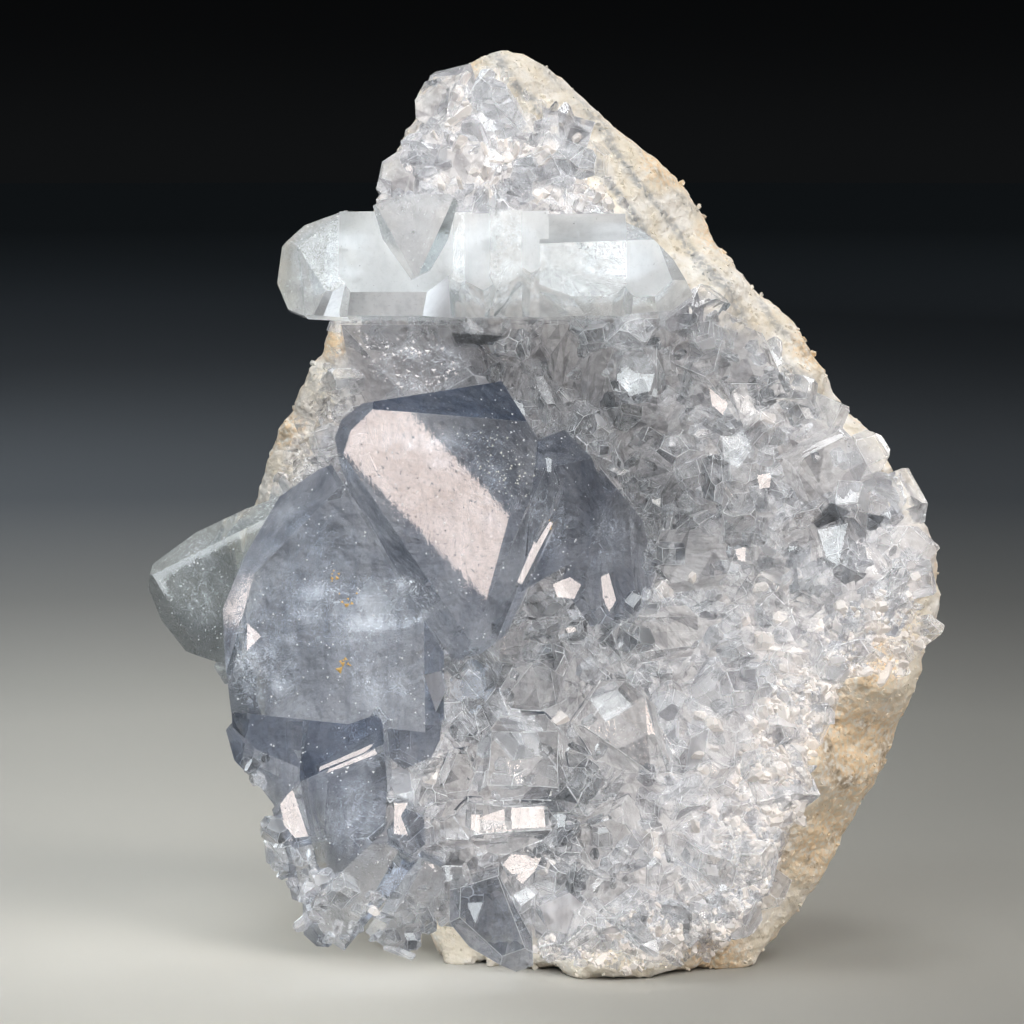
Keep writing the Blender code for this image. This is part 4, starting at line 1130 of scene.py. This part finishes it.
@dataclass
class Veils:
    """The veils inside the large crystals, as one piece."""

    veils: tuple[Veil, ...]
    steps: int = 18

    def build(self) -> bpy.types.Object:
        """Models each veil as a waved sheet and joins them."""
        made = []
        for veil in self.veils:
            deselect()
            bpy.ops.mesh.primitive_grid_add(x_subdivisions=self.steps, y_subdivisions=self.steps, size=1.0)
            obj = bpy.context.object
            turn = FACE.way(*veil.looks).to_track_quat("Z", "Y").to_matrix()
            centre = FACE.point(*veil.at)
            fade = []
            for vert in obj.data.vertices:
                a, b = vert.co.x * 2, vert.co.y * 2
                fade.append(veil.strength * max(0.0, 1.0 - (a * a + b * b)) ** 0.5)
                sway = noise.noise(Vector((a * 1.3, b * 1.3, veil.at[0])))
                local = Vector((vert.co.x * veil.size[0], vert.co.y * veil.size[1], sway * veil.wave * 2))
                vert.co = centre + turn @ local * MM
            obj.data.attributes.new("fade", "FLOAT", "POINT").data.foreach_set("value", fade)
            made.append(obj)
        deselect()
        for obj in made:
            obj.select_set(True)
        bpy.context.view_layer.objects.active = made[0]
        bpy.ops.object.join()
        made[0].name = "inner_veils"
        return made[0]


@dataclass(frozen=True)
class Glare:
    """A bright reflection on one facet, and the strip of light that makes it.

    The corners are pixels, its two long sides one after the other. The facet is a pixel on the crystal's
    face, where the middle of the corners isn't on it.
    """

    name: str
    corners: tuple[tuple[float, float], ...]
    colour: tuple[float, float, float] = (1.0, 0.85, 0.77)
    radiance: float = 10.5
    distance: float = 0.5
    facet: tuple[float, float] | None = None


@dataclass
class Studio:
    """Floor, lights and camera."""

    focal_pixels: float = 4200.0
    floor_radius: float = 3.0
    glares: tuple[Glare, ...] = ()
    panels: tuple[tuple[str, tuple[float, float], tuple[float, float], float, tuple[float, float, float]], ...] = (
        ("overhead_panel", (-4.0, 42.0), (0.35, 0.19), 6.0, (0.93, 0.98, 1.0)),
        ("top_panel", (10.0, 84.0), (0.28, 0.22), 6.0, (0.97, 0.98, 1.0)),
        ("left_panel", (-64.0, 18.0), (0.12, 0.28), 6.0, (0.90, 0.96, 1.0)),
        ("right_panel", (64.0, 20.0), (0.12, 0.26), 6.5, (1.0, 0.95, 0.91)),
        ("high_right_panel", (46.0, 46.0), (0.22, 0.20), 9.0, (1.0, 0.96, 0.92)),
        ("high_left_panel", (-38.0, 30.0), (0.07, 0.09), 12.0, (0.97, 0.97, 1.0)),
        ("warm_panel", (30.0, 2.0), (0.13, 0.11), 10.5, (1.0, 0.86, 0.79)),
        ("low_left_panel", (-30.0, -12.0), (0.07, 0.06), 10.0, (1.0, 0.92, 0.88)),
        ("low_right_panel", (28.0, -8.0), (0.07, 0.06), 10.0, (1.0, 0.93, 0.90)),
        ("back_left_panel", (-140.0, 30.0), (0.22, 0.30), 4.5, (0.90, 0.96, 1.0)),
        ("back_right_panel", (140.0, 35.0), (0.22, 0.30), 4.5, (0.95, 0.97, 1.0)),
    )

    def camera(self) -> bpy.types.Object:
        """The camera, at the picture's place and angle."""
        data = bpy.data.cameras.new("camera")
        data.sensor_width = 36.0
        data.lens = 36.0 * self.focal_pixels / 1024.0
        data.clip_start = 0.01
        made = bpy.data.objects.new("camera", data)
        made.location = FACE.eye()
        made.rotation_euler = (math.radians(90.0 - FACE.lean), 0.0, 0.0)
        bpy.context.scene.collection.objects.link(made)
        bpy.context.scene.camera = made
        return made

    def floor(self) -> bpy.types.Object:
        """A round floor with a painted pool of light: pale round the specimen and graded to dark far away, with painted
        shade to the right.
        """
        deselect()
        bpy.ops.mesh.primitive_circle_add(vertices=96, radius=self.floor_radius, fill_type="NGON")
        made = bpy.context.object
        made.name = "floor"
        material, s = new_material("floor_paper")
        place = s.add("TexCoord").outputs["Object"]
        reach = s.add("VectorMath", {0: place}, operation="LENGTH").outputs["Value"]
        share = s.math("LOGARITHM", s.math("MAXIMUM", reach, 0.02), 10.0)
        # Painted pool of light: the floor's colour grades from pale near the specimen to dark far away.
        graded = s.add("MapRange", {"Value": share, "From Min": -1.3, "From Max": 0.3}).outputs["Result"]
        ramp = s.add("ValToRGB", {"Fac": graded})
        # Painted shade: the floor darker to the right of the specimen, fading out far away.
        spot = s.add("SeparateXYZ", {0: place}).outputs
        aside = s.math("DIVIDE", spot["X"], s.math("MAXIMUM", s.math("ADD", spot["Y"], 0.425), 0.1))
        shade = s.math("MAXIMUM", s.ramp(aside, -0.12, 0.12, 1.0, 0.5), s.ramp(graded, 0.70, 0.98))
        stops = ((0.0, (0.70, 0.68, 0.62)), (0.33, (0.49, 0.48, 0.44)), (0.49, (0.24, 0.24, 0.23)),
                 (0.61, (0.13, 0.14, 0.15)), (0.80, (0.128, 0.142, 0.157)), (0.866, (0.115, 0.130, 0.145)),
                 (0.93, (0.080, 0.092, 0.102)), (1.0, (0.050, 0.058, 0.063)))
        elements = ramp.color_ramp.elements
        elements[0].position, elements[0].color = stops[0][0], (*stops[0][1], 1.0)
        elements[1].position, elements[1].color = stops[-1][0], (*stops[-1][1], 1.0)
        for position, colour in stops[1:-1]:
            elements.new(position).color = (*colour, 1.0)
        colour = s.mix(shade, (0.0, 0.0, 0.0, 1.0), ramp.outputs[0])
        shader = s.add("BsdfPrincipled", {"Base Color": colour, "Roughness": 1.0, "Specular IOR Level": 0.0})
        s.add("OutputMaterial", {"Surface": shader.outputs[0]})
        made.data.materials.append(material)
        return made

    def panel(self, name: str, way: tuple[float, float], size: tuple[float, float], radiance: float,
              colour: tuple[float, float, float]) -> bpy.types.Object:
        """A soft panel that faces the specimen.

        Args:
            name: its name.
            way: where it stands, as (yaw, pitch) in degrees seen from the specimen.
            size: its width and height, in metres.
            radiance: how bright its face is.
            colour: the colour of its light.

        Returns:
            The light.
        """
        data = bpy.data.lights.new(name, "AREA")
        data.shape = "RECTANGLE"
        data.size, data.size_y = size
        data.energy = radiance * math.pi * size[0] * size[1]
        data.color = colour
        made = bpy.data.objects.new(name, data)
        made.location = FACE.panel_place(*way)
        made.rotation_euler = FACE.way(*way).to_track_quat("Z", "Y").to_euler()
        bpy.context.scene.collection.objects.link(made)
        return made

    def mirrored_strip(self, glare: Glare, facets: BVHTree) -> bpy.types.Object | None:
        """A narrow soft panel, placed so that a crystal's flat facet mirrors it into the camera.

        Args:
            glare: where the glare lies in the picture, and its light.
            facets: the faces of the crystals.

        Returns:
            The light, or None where no crystal lies at the glare's middle.
        """
        camera = FACE.eye()
        middle = tuple(sum(corner[k] for corner in glare.corners) / 4 for k in (0, 1))
        at, normal, _, _ = facets.ray_cast(camera, FACE.ray_to(*(glare.facet or middle)))
        if at is None:
            return None
        places = []
        for pixel in glare.corners:
            ray = FACE.ray_to(*pixel)
            hit = camera + ray * ((at - camera).dot(normal) / ray.dot(normal))
            places.append(hit + (ray - 2 * ray.dot(normal) * normal) * glare.distance)
        first, second, third, last = places
        centre = (first + second + third + last) / 4
        along = (second - first + third - last).normalized()
        away = (centre - at).normalized()
        across = away.cross(along).normalized()
        along = across.cross(away)
        LOG.info("%s: mirrored from yaw and pitch %s", glare.name, [round(x, 2) for x in away])
        data = bpy.data.lights.new(glare.name, "AREA")
        data.shape = "RECTANGLE"
        data.size = ((second - first).length + (third - last).length) / 2
        data.size_y = ((last - first).length + (third - second).length) / 2
        data.energy = glare.radiance * math.pi * data.size * data.size_y
        data.color = glare.colour
        made = bpy.data.objects.new(glare.name, data)
        made.matrix_world = Matrix.Translation(centre) @ Matrix((along, across, away)).transposed().to_4x4()
        bpy.context.scene.collection.objects.link(made)
        return made

    def world(self) -> None:
        """Dim light from all round, brighter from above. The camera sees it black."""
        made = bpy.data.worlds.new("studio")
        made.use_nodes = True
        s = NodeSketch(made.node_tree)
        up = s.add("SeparateXYZ", {0: s.add("TexCoord").outputs["Generated"]}).outputs["Z"]
        strength = s.ramp(up, -0.1, 0.9, 0.03, 0.12)
        seen = s.add("LightPath").outputs["Is Camera Ray"]
        shown = s.math("MULTIPLY", strength, s.math("SUBTRACT", 1.0, seen))
        dim = s.ramp(up, -0.026, 0.017, 0.0066, 0.003)
        back = s.add("Background", {"Color": (0.86, 0.93, 1.0, 1.0), "Strength": s.math("ADD", shown, dim)})
        s.add("OutputWorld", {"Surface": back.outputs[0]})
        bpy.context.scene.world = made

    def build(self, facets: BVHTree) -> None:
        """Sets up the studio round the specimen, whose crystals have these facets."""
        self.camera()
        self.floor()
        for name, way, size, radiance, colour in self.panels:
            self.panel(name, way, size, radiance, colour)
        for glare in self.glares:
            self.mirrored_strip(glare, facets)
        self.world()
        scene = bpy.context.scene
        scene.view_settings.view_transform = "Standard"
        scene.cycles.use_denoising = True
        scene.cycles.max_bounces = 9
        scene.cycles.transmission_bounces = 9
        scene.cycles.glossy_bounces = 4
        scene.cycles.diffuse_bounces = 2
        scene.cycles.transparent_max_bounces = 8
        scene.cycles.use_adaptive_sampling = True
        scene.cycles.adaptive_threshold = 0.1
        scene.cycles.adaptive_min_samples = 10


DRUSE_REGION = GeodeWall().crust
SUGAR_REGION = (
    (29.0, 37.0), (36.0, 39.0), (39.0, 34.0), (36.0, 30.0), (30.0, 30.0), (27.0, 24.0), (25.0, 16.0),
    (22.0, 8.0), (18.0, 2.0), (8.0, 0.5), (-2.0, 2.0), (4.0, 6.0), (14.0, 8.0), (18.0, 16.0), (22.0, 28.0),
)
TOP_REGION = ((-15.4, 77.5), (8.0, 77.0), (5.0, 83.0), (-4.0, 91.0), (-9.0, 89.5), (-13.4, 84.0))
BARE_REGION = ((-42.0, 0.0), (42.0, 0.0), (42.0, 95.0), (-42.0, 95.0))
LEFT_REGION = ((-28.5, 46.5), (-26.5, 52.0), (-23.5, 57.0), (-22.0, 62.5), (-19.5, 64.5), (-19.5, 58.0), (-22.0, 50.0),
               (-24.0, 46.0))
EDGE_REGION = ((5.0, 54.0), (9.0, 51.5), (12.0, 46.0), (12.0, 38.0), (9.5, 33.5), (4.0, 32.5), (4.5, 35.0), (8.0, 36.5),
               (9.7, 40.0), (9.8, 46.0), (7.5, 50.0))
LOW_REGION = ((-30.5, 22.5), (-27.5, 22.5), (-27.0, 17.0), (-24.5, 13.0), (-20.0, 9.5), (-12.0, 10.0), (-10.5, 5.0),
              (-14.5, 2.6), (-22.0, 3.5), (-24.0, 6.0), (-27.5, 11.5), (-27.5, 14.5), (-30.0, 19.0))
SOWINGS = (
    Sowing("druse_middle", DRUSE_REGION, 210, (2.4, 6.2), 30.0, 0.85, 11, highest=1.4, edge=0.014),
    Sowing("druse_fine", DRUSE_REGION, 230, (1.0, 2.6), 42.0, 0.8, 12, highest=1.3, edge=0.0),
    Sowing("druse_overgrowth", DRUSE_REGION, 210, (1.3, 4.2), 42.0, 0.95, 15, highest=3.8, edge=0.01),
    Sowing("druse_scatter", DRUSE_REGION, 110, (0.9, 2.8), 42.0, 2.0, 17, highest=12.0, edge=0.0),
    Sowing("edge_crystals", EDGE_REGION, 26, (1.4, 3.6), 40.0, 0.9, 18, highest=30.0, edge=0.01,
           also="blue_crystal_group"),
    Sowing("low_crystals", LOW_REGION, 44, (1.2, 3.6), 50.0, 1.0, 19, highest=30.0, edge=0.01,
           also="blue_crystal_group"),
    Sowing("left_rim_crystals", LEFT_REGION, 120, (0.7, 2.4), 50.0, 0.7, 20, highest=3.0, edge=0.0),
    Sowing("top_overgrowth", TOP_REGION, 100, (1.0, 4.0), 45.0, 0.85, 16, highest=6.0, edge=0.01),
    Sowing("sugar_lumps", SUGAR_REGION, 60, (2.4, 5.8), 45.0, 0.95, 25, sink=0.45, highest=3.5, edge=0.02),
    Sowing("sugar_grains", SUGAR_REGION, 1500, (0.4, 1.5), 60.0, 0.62, 13, highest=4.8, edge=0.0),
    Sowing("rim_grains", BARE_REGION, 1200, (0.2, 0.55), 90.0, 0.6, 14, sink=0.7, edge=0.0, stone=True),
)

FINISHES = {
    Slot.BLUE: CrystalFinish("blue_crystal", (0.95, 0.97, 1.0), (0.80, 0.84, 0.89), (0.43, 0.56, 0.72), 23.0, 0.90,
                             bump=0.002, dark=(0.03, 0.06, 0.13), streaks=0.4, patches=0.4),
    Slot.PALE: CrystalFinish("pale_crystal", (0.93, 0.95, 0.96), (0.84, 0.86, 0.86), (0.60, 0.70, 0.72), 20.0, 0.82,
                             bump=0.03, roughness=(0.12, 0.3), dark=(0.12, 0.16, 0.17), streaks=0.15),
    Slot.SMOKY: CrystalFinish("smoky_crystal", (0.92, 0.92, 0.94), (0.80, 0.77, 0.77), (0.46, 0.48, 0.54), 34.0, 0.88,
                              cloud_size=2.4, cloud_cover=0.6, bump=0.02, dark=(0.05, 0.07, 0.1)),
    Slot.DRUSE: CrystalFinish("druse_crystal", (0.95, 0.968, 0.988), (0.92, 0.92, 0.92), (0.7, 0.8, 0.9), 0.0, 0.94,
                              cloud_size=4.0, cloud_cover=0.35, bump=0.02, dark=(0.10, 0.11, 0.13)),
}
MILKY = CrystalFinish("milky_crystal", (0.955, 0.965, 0.98), (0.94, 0.93, 0.92), (1.0, 1.0, 1.0), 0.0, 0.74,
                      cloud_size=3.5, bump=0.04, dark=(0.3, 0.3, 0.33))
SUGAR = CrystalFinish("sugar_crystal", (1.0, 0.94, 0.89), (1.0, 0.93, 0.88), (1.0, 1.0, 1.0), 0.0, 0.2,
                      cloud_size=3.0, bump=0.1, roughness=(0.15, 0.6), dark=(0.78, 0.75, 0.73))
COOL = (0.93, 0.98, 1.0)
GLARES = (
    Glare("band_glare", ((385.0, 390.0), (560.0, 565.0), (510.0, 625.0), (322.0, 427.0)), (1.0, 0.80, 0.70), 9.2,
          facet=(440.0, 500.0)),
    Glare("left_facet_glare", ((262.0, 568.0), (225.0, 610.0), (232.0, 626.0), (268.0, 590.0))),
)
FLASHES = (
    Flash(((511.0, 808.0), (544.0, 806.0), (545.0, 827.0), (512.0, 829.0)), frost=0.05),
    Flash(((617.0, 358.0), (630.0, 349.0), (643.0, 352.0), (655.0, 374.0), (650.0, 391.0), (630.0, 396.0),
           (617.0, 380.0)), "cool", 0.06),
    Flash(((549.0, 815.0), (566.0, 813.0), (564.0, 833.0), (552.0, 834.0)), "cool"),
    Flash(((467.0, 903.0), (483.0, 902.0), (475.0, 924.0)), "cool", rise=0.6),
    Flash(((583.0, 208.0), (593.0, 202.0), (606.0, 216.0)), "cool", rise=0.4),
    Flash(((546.0, 457.0), (552.0, 459.0), (551.0, 473.0), (547.0, 472.0)), "cool", rise=0.4),
    Flash(((818.0, 530.0), (848.0, 523.0), (838.0, 566.0), (826.0, 558.0)), "cool", 0.1, 1.6),
    Flash(((722.0, 438.0), (744.0, 430.0), (752.0, 450.0), (738.0, 468.0), (724.0, 460.0)), "cool", 0.6),
    Flash(((709.0, 389.0), (716.0, 386.0), (728.0, 404.0), (723.0, 415.0), (712.0, 405.0))),
    Flash(((553.0, 584.0), (570.0, 577.0), (581.0, 585.0), (574.0, 599.0), (557.0, 597.0))),
    Flash(((601.0, 577.0), (609.0, 573.0), (616.0, 600.0), (609.0, 612.0), (603.0, 598.0))),
    Flash(((567.0, 611.0), (579.0, 607.0), (585.0, 617.0), (573.0, 623.0))),
    Flash(((565.0, 628.0), (574.0, 626.0), (577.0, 631.0), (568.0, 633.0))),
    Flash(((511.0, 854.0), (542.0, 857.0), (534.0, 872.0), (522.0, 884.0), (503.0, 865.0)), frost=0.08, rise=1.6),
    Flash(((471.0, 814.0), (480.0, 815.0), (480.0, 832.0), (471.0, 830.0))),
    Flash(((394.0, 803.0), (408.0, 803.0), (401.0, 816.0), (408.0, 835.0), (394.0, 834.0)), frost=0.05),
    Flash(((757.0, 475.0), (771.0, 473.0), (770.0, 487.0), (760.0, 489.0))),
    Flash(((735.0, 549.0), (746.0, 547.0), (745.0, 562.0), (738.0, 560.0))),
    Flash(((280.0, 804.0), (306.0, 773.0), (312.0, 803.0), (320.0, 835.0), (295.0, 838.0), (284.0, 825.0)),
          frost=0.05, rise=3.8),
    Flash(((320.0, 767.0), (379.0, 741.0), (380.0, 746.0), (319.0, 771.0)), rise=0.9),
    Flash(((330.0, 768.5), (380.0, 747.5), (381.0, 752.5), (326.0, 773.5)), rise=0.9),
    Flash(((247.0, 623.0), (261.0, 636.0), (247.0, 651.0)), rise=0.4),
    Flash(((544.0, 519.0), (553.0, 523.0), (522.0, 584.0), (517.0, 582.0)), rise=0.4),
    Flash(((675.0, 600.0), (700.0, 590.0), (712.0, 604.0), (690.0, 616.0)), "cool", 0.3),
    Flash(((590.0, 700.0), (618.0, 690.0), (632.0, 706.0), (606.0, 722.0)), "cool", 0.5),
    Flash(((424.0, 675.0), (441.0, 671.0), (446.0, 690.0), (436.0, 712.0)), "warm", 0.9),
    Flash(((540.0, 905.0), (570.0, 893.0), (592.0, 912.0), (575.0, 935.0), (548.0, 930.0)), "warm", 0.8),
    # Painted shadow: dark flashes where gaps lie in shade.
    Flash(((812.0, 522.0), (832.0, 503.0), (850.0, 512.0), (838.0, 520.0), (818.0, 528.0)), "dark", rise=1.4),
    Flash(((852.0, 510.0), (885.0, 517.0), (876.0, 530.0), (862.0, 530.0)), "dark", rise=1.4),
    Flash(((452.0, 333.0), (502.0, 336.0), (492.0, 345.0), (456.0, 343.0)), "dark", rise=0.2),
    Flash(((512.0, 399.0), (523.0, 404.0), (526.0, 416.0), (519.0, 412.0)), "cool", rise=0.6),
)
VEILS = (
    Veil((-24.0, 37.0, 13.5), (-20.0, 12.0), (13.0, 11.0)), Veil((-27.3, 30.5, 14.5), (10.0, -20.0), (8.0, 7.0), strength=2.4),
    Veil((-17.5, 33.0, 12.0), (28.0, 5.0), (9.0, 12.0)), Veil((-22.0, 43.0, 12.0), (-35.0, 25.0), (10.0, 8.0)),
    Veil((-28.0, 33.0, 14.0), (-35.0, 0.0), (6.0, 9.0), strength=2.4), Veil((-15.0, 29.0, 14.0), (35.0, -15.0), (6.0, 7.0)),
    Veil((-8.5, 52.0, 8.5), (12.0, 30.0), (10.0, 6.0)),
    Veil((-6.0, 48.0, 8.0), (30.0, 15.0), (5.0, 9.0)), Veil((-14.0, 53.0, 9.0), (-30.0, 20.0), (7.0, 5.0)),
    Veil((-19.0, 17.5, 13.0), (-10.0, 20.0), (6.0, 9.0)), Veil((-18.0, 24.0, 13.0), (20.0, 30.0), (6.0, 5.0)),
    Veil((-20.5, 71.0, 9.0), (-12.0, 30.0), (8.0, 7.0), strength=2.2), Veil((-5.0, 71.5, 8.0), (20.0, 10.0), (12.0, 7.0), strength=2.2),
    Veil((7.0, 71.0, 9.5), (-10.0, 25.0), (10.0, 6.0), strength=2.2), Veil((5.0, 44.0, 6.0), (20.0, 0.0), (6.0, 8.0)),
    Veil((-34.5, 38.5, -5.0), (-15.0, 10.0), (6.0, 9.0)), Veil((-12.5, 61.0, 0.5), (5.0, -10.0), (10.0, 6.0), strength=2.0),
    Veil((-18.0, 37.5, 15.0), (5.0, 10.0), (15.0, 6.0), strength=3.0),
    Veil((-22.0, 35.0, 15.5), (-8.0, -10.0), (9.0, 4.0), strength=2.4),
    Veil((-4.5, 6.5, 10.0), (10.0, -20.0), (4.0, 6.0)), Veil((-0.5, 45.0, 10.0), (40.0, -5.0), (3.5, 10.0)),
)
# Painted light and shade: each listed facet of the blue group is toned darker or lighter as it looks lit.
BLUE_FACETS = (
    Facet((470.0, 405.0), 0.28), Facet((368.0, 470.0), 0.05), Facet((385.0, 405.0), 0.1), Facet((440.0, 500.0), 0.88),
    Facet((420.0, 620.0), 0.2), Facet((535.0, 430.0), 0.2), Facet((560.0, 445.0), 0.5), Facet((575.0, 475.0), 0.05),
    Facet((500.0, 590.0), 0.95, 0.2), Facet((540.0, 560.0), 0.6), Facet((330.0, 600.0), 1.0, 0.05),
    Facet((290.0, 500.0), 0.78, 0.3), Facet((240.0, 590.0), 0.9, 0.1), Facet((437.0, 660.0), 0.55),
    Facet((425.0, 700.0), 0.35), Facet((260.0, 725.0), 0.25), Facet((250.0, 750.0), 0.5), Facet((300.0, 790.0), 0.9),
    Facet((340.0, 735.0), 0.25), Facet((350.0, 790.0), 0.8, 0.1), Facet((400.0, 745.0), 0.3), Facet((610.0, 520.0), 0.55),
    Facet((590.0, 580.0), 0.55), Facet((375.0, 880.0), 1.0, 0.4, 3), Facet((345.0, 890.0), 0.9, 0.3, 3),
    Facet((400.0, 900.0), 1.0, 0.2, 3), Facet((420.0, 880.0), 0.8, 0.2, 3), Facet((320.0, 915.0), 1.0, 0.0, 3),
    Facet((275.0, 850.0), 1.0, 0.0, 3), Facet((300.0, 880.0), 0.9, 0.0, 3),
)
# Painted light and shade on listed facets of the crust; the two darkest are painted shadow in a gap.
DRUSE_FACETS = (
    Facet((490.0, 95.0), 1.0, 1.0, 3), Facet((497.0, 135.0), 1.0, 1.0, 3), Facet((630.0, 736.0), 0.8, 0.6),
    Facet((636.0, 373.0), 1.0, 0.0), Facet((748.0, 360.0), 0.9, 0.2), Facet((748.0, 450.0), 1.0, 0.8, 3),
    Facet((563.0, 145.0), 1.0, 0.6, 3), Facet((835.0, 520.0), 0.1, 0.0), Facet((860.0, 540.0), 0.05, 0.0), Facet((473.0, 689.0), 0.4, 0.0),
)
# The tone of each crystal and of its listed facets is painted light and shade.
LARGE = (
    LargeCrystal("blue_crystal_group", "blue_crystals", Slot.BLUE, 0.18, 0.95, facets=BLUE_FACETS),
    LargeCrystal("bottom_blue_crystal", "bottom_crystal", Slot.BLUE, facets=(Facet((465.0, 900.0), 0.6),)),
    LargeCrystal("bar_crystal", "bar", Slot.PALE, spread=0.12, facets=(
        Facet((580.0, 232.0), 0.95, 0.45), Facet((413.0, 232.0), 1.0, 0.5, 3), 
        Facet((434.0, 302.0), 0.35, 0.9, 3), Facet((350.0, 304.0), 1.0, 0.9, 3), Facet((330.0, 304.0), 0.8, 0.9, 3),
        Facet((330.0, 292.0), 0.8, 0.9, 3), Facet((433.0, 250.0), 0.45, 0.3), Facet((380.0, 304.0), 1.0, 0.9, 3),
        Facet((500.0, 265.0), 1.0, 0.3), Facet((305.0, 240.0), 1.0, 0.3))),
    LargeCrystal("side_crystal", "side_block", Slot.PALE, tone=0.8, spread=0.4),
    LargeCrystal("smoky_crystal", "smoky_block", Slot.SMOKY),
)
BLUE_REGION = (
    (355.0, 430.0), (400.0, 390.0), (520.0, 390.0), (590.0, 450.0), (600.0, 560.0), (450.0, 700.0), (430.0, 780.0),
    (400.0, 850.0), (330.0, 930.0), (270.0, 830.0), (235.0, 700.0), (230.0, 600.0), (270.0, 510.0), (340.0, 465.0),
)
BAR_REGION = ((285.0, 250.0), (340.0, 215.0), (600.0, 210.0), (680.0, 280.0), (660.0, 320.0), (300.0, 320.0))
INNER_REGION = ((450.0, 425.0), (525.0, 440.0), (543.0, 475.0), (522.0, 512.0), (478.0, 468.0))
SIDE_REGION = ((152.0, 590.0), (170.0, 560.0), (240.0, 530.0), (228.0, 640.0), (190.0, 640.0))
SMOKY_REGION = ((352.0, 330.0), (440.0, 338.0), (462.0, 376.0), (406.0, 392.0), (372.0, 376.0))
BAND_REGION = ((355.0, 433.0), (371.0, 417.0), (438.0, 446.0), (516.0, 521.0), (483.0, 597.0), (424.0, 536.0))
SPECKS = (
    (Specks("white_dust", 900, (0.07, 0.3), 21, BLUE_REGION), SolidFinish("dust", (0.95, 0.95, 0.95))),
    (Specks("inner_dust", 130, (0.08, 0.34), 27, INNER_REGION), SolidFinish("yellow_dust", (0.84, 0.83, 0.76))),
    (Specks("smoky_dust", 160, (0.12, 0.6), 26, SMOKY_REGION), SolidFinish("pale_dust", (0.9, 0.86, 0.86))),
    (Specks("side_dust", 130, (0.05, 0.26), 28, SIDE_REGION), SolidFinish("side_dust", (0.88, 0.9, 0.92))),
    (Specks("bar_dust", 60, (0.06, 0.2), 22, BAR_REGION), SolidFinish("dark_dust", (0.25, 0.24, 0.24))),
    (Specks("band_dust", 60, (0.08, 0.26), 23, BAND_REGION), SolidFinish("band_pit", (0.16, 0.15, 0.16))),
    (Specks("amber_flecks", 26, (0.2, 0.8), 24, places=((333.0, 577.0), (347.0, 603.0), (344.0, 664.0), (548.0, 522.0))),
     SolidFinish("amber_fleck", (0.88, 0.55, 0.16))),
)


def main() -> None:
    """Builds the whole look, piece by piece."""
    logging.basicConfig(level=logging.INFO, format="%(name)s: %(message)s")
    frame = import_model()
    nodes = frame["nodes"]
    effects = Effects()
    finishes = {slot: finish.build(effects) for slot, finish in FINISHES.items()}
    # Worn, frosted edges whose white is also a painted highlight along the edges.
    edge = EdgeFinish().build(effects)
    # The druse's edges: frosted, with a fainter painted highlight.
    druse_edge_highlight = EdgeFinish("druse_edge_highlight", transmission=0.6).build(effects)
    # Painted shade in the creases where crystals meet.
    seam_shade = SolidFinish("crystal_seam_shade", (0.045, 0.060, 0.085), 0.3).build()
    milky = MILKY.build(effects)
    sugar = SUGAR.build(effects)
    stone = RockFinish().build(effects)
    wall = GeodeWall()
    rock = wall.build(nodes)
    finish_piece(rock, (stone,), Slot.ROCK, "geode_wall")
    large = [crystal.build(nodes) for crystal in LARGE]
    for crystal, made in zip(LARGE, large):
        finish_piece(made, (finishes[crystal.slot], edge, seam_shade, milky), crystal.slot, crystal.node)
        made.visible_shadow = False
    druse = Druse("druse_crust", SOWINGS, wall, DRUSE_FACETS).build(nodes, rock)
    for made in druse:
        if made.name == "rim_grains":
            finish_piece(made, (stone,), Slot.ROCK)
            made.visible_shadow = False
            continue
        clear = sugar if made.name == "sugar_grains" else finishes[Slot.DRUSE]
        replaced = ("druse_crust",) if made.name == "druse_main" else ()
        finish_piece(made, (clear, druse_edge_highlight, seam_shade, milky, sugar), Slot.DRUSE, *replaced)
        made.visible_shadow = False
    flashing = Flashes(FLASHES).build(large + druse)
    finish_piece(flashing, (finishes[Slot.DRUSE], druse_edge_highlight, seam_shade), Slot.DRUSE)
    flashing.visible_shadow = False
    for specks, finish in SPECKS:
        finish_piece(specks.build(large), (finish.build(),), Slot.BLUE)
    veils = Veils(VEILS).build()
    finish_piece(veils, (VeilFinish().build(effects),), Slot.BLUE)
    veils.visible_shadow = False
    shown = [nodes[name] for name in nodes if name != "geode_wall"]
    Studio(glares=GLARES).build(facets_of(shown))


if __name__ == "__main__":
    main()
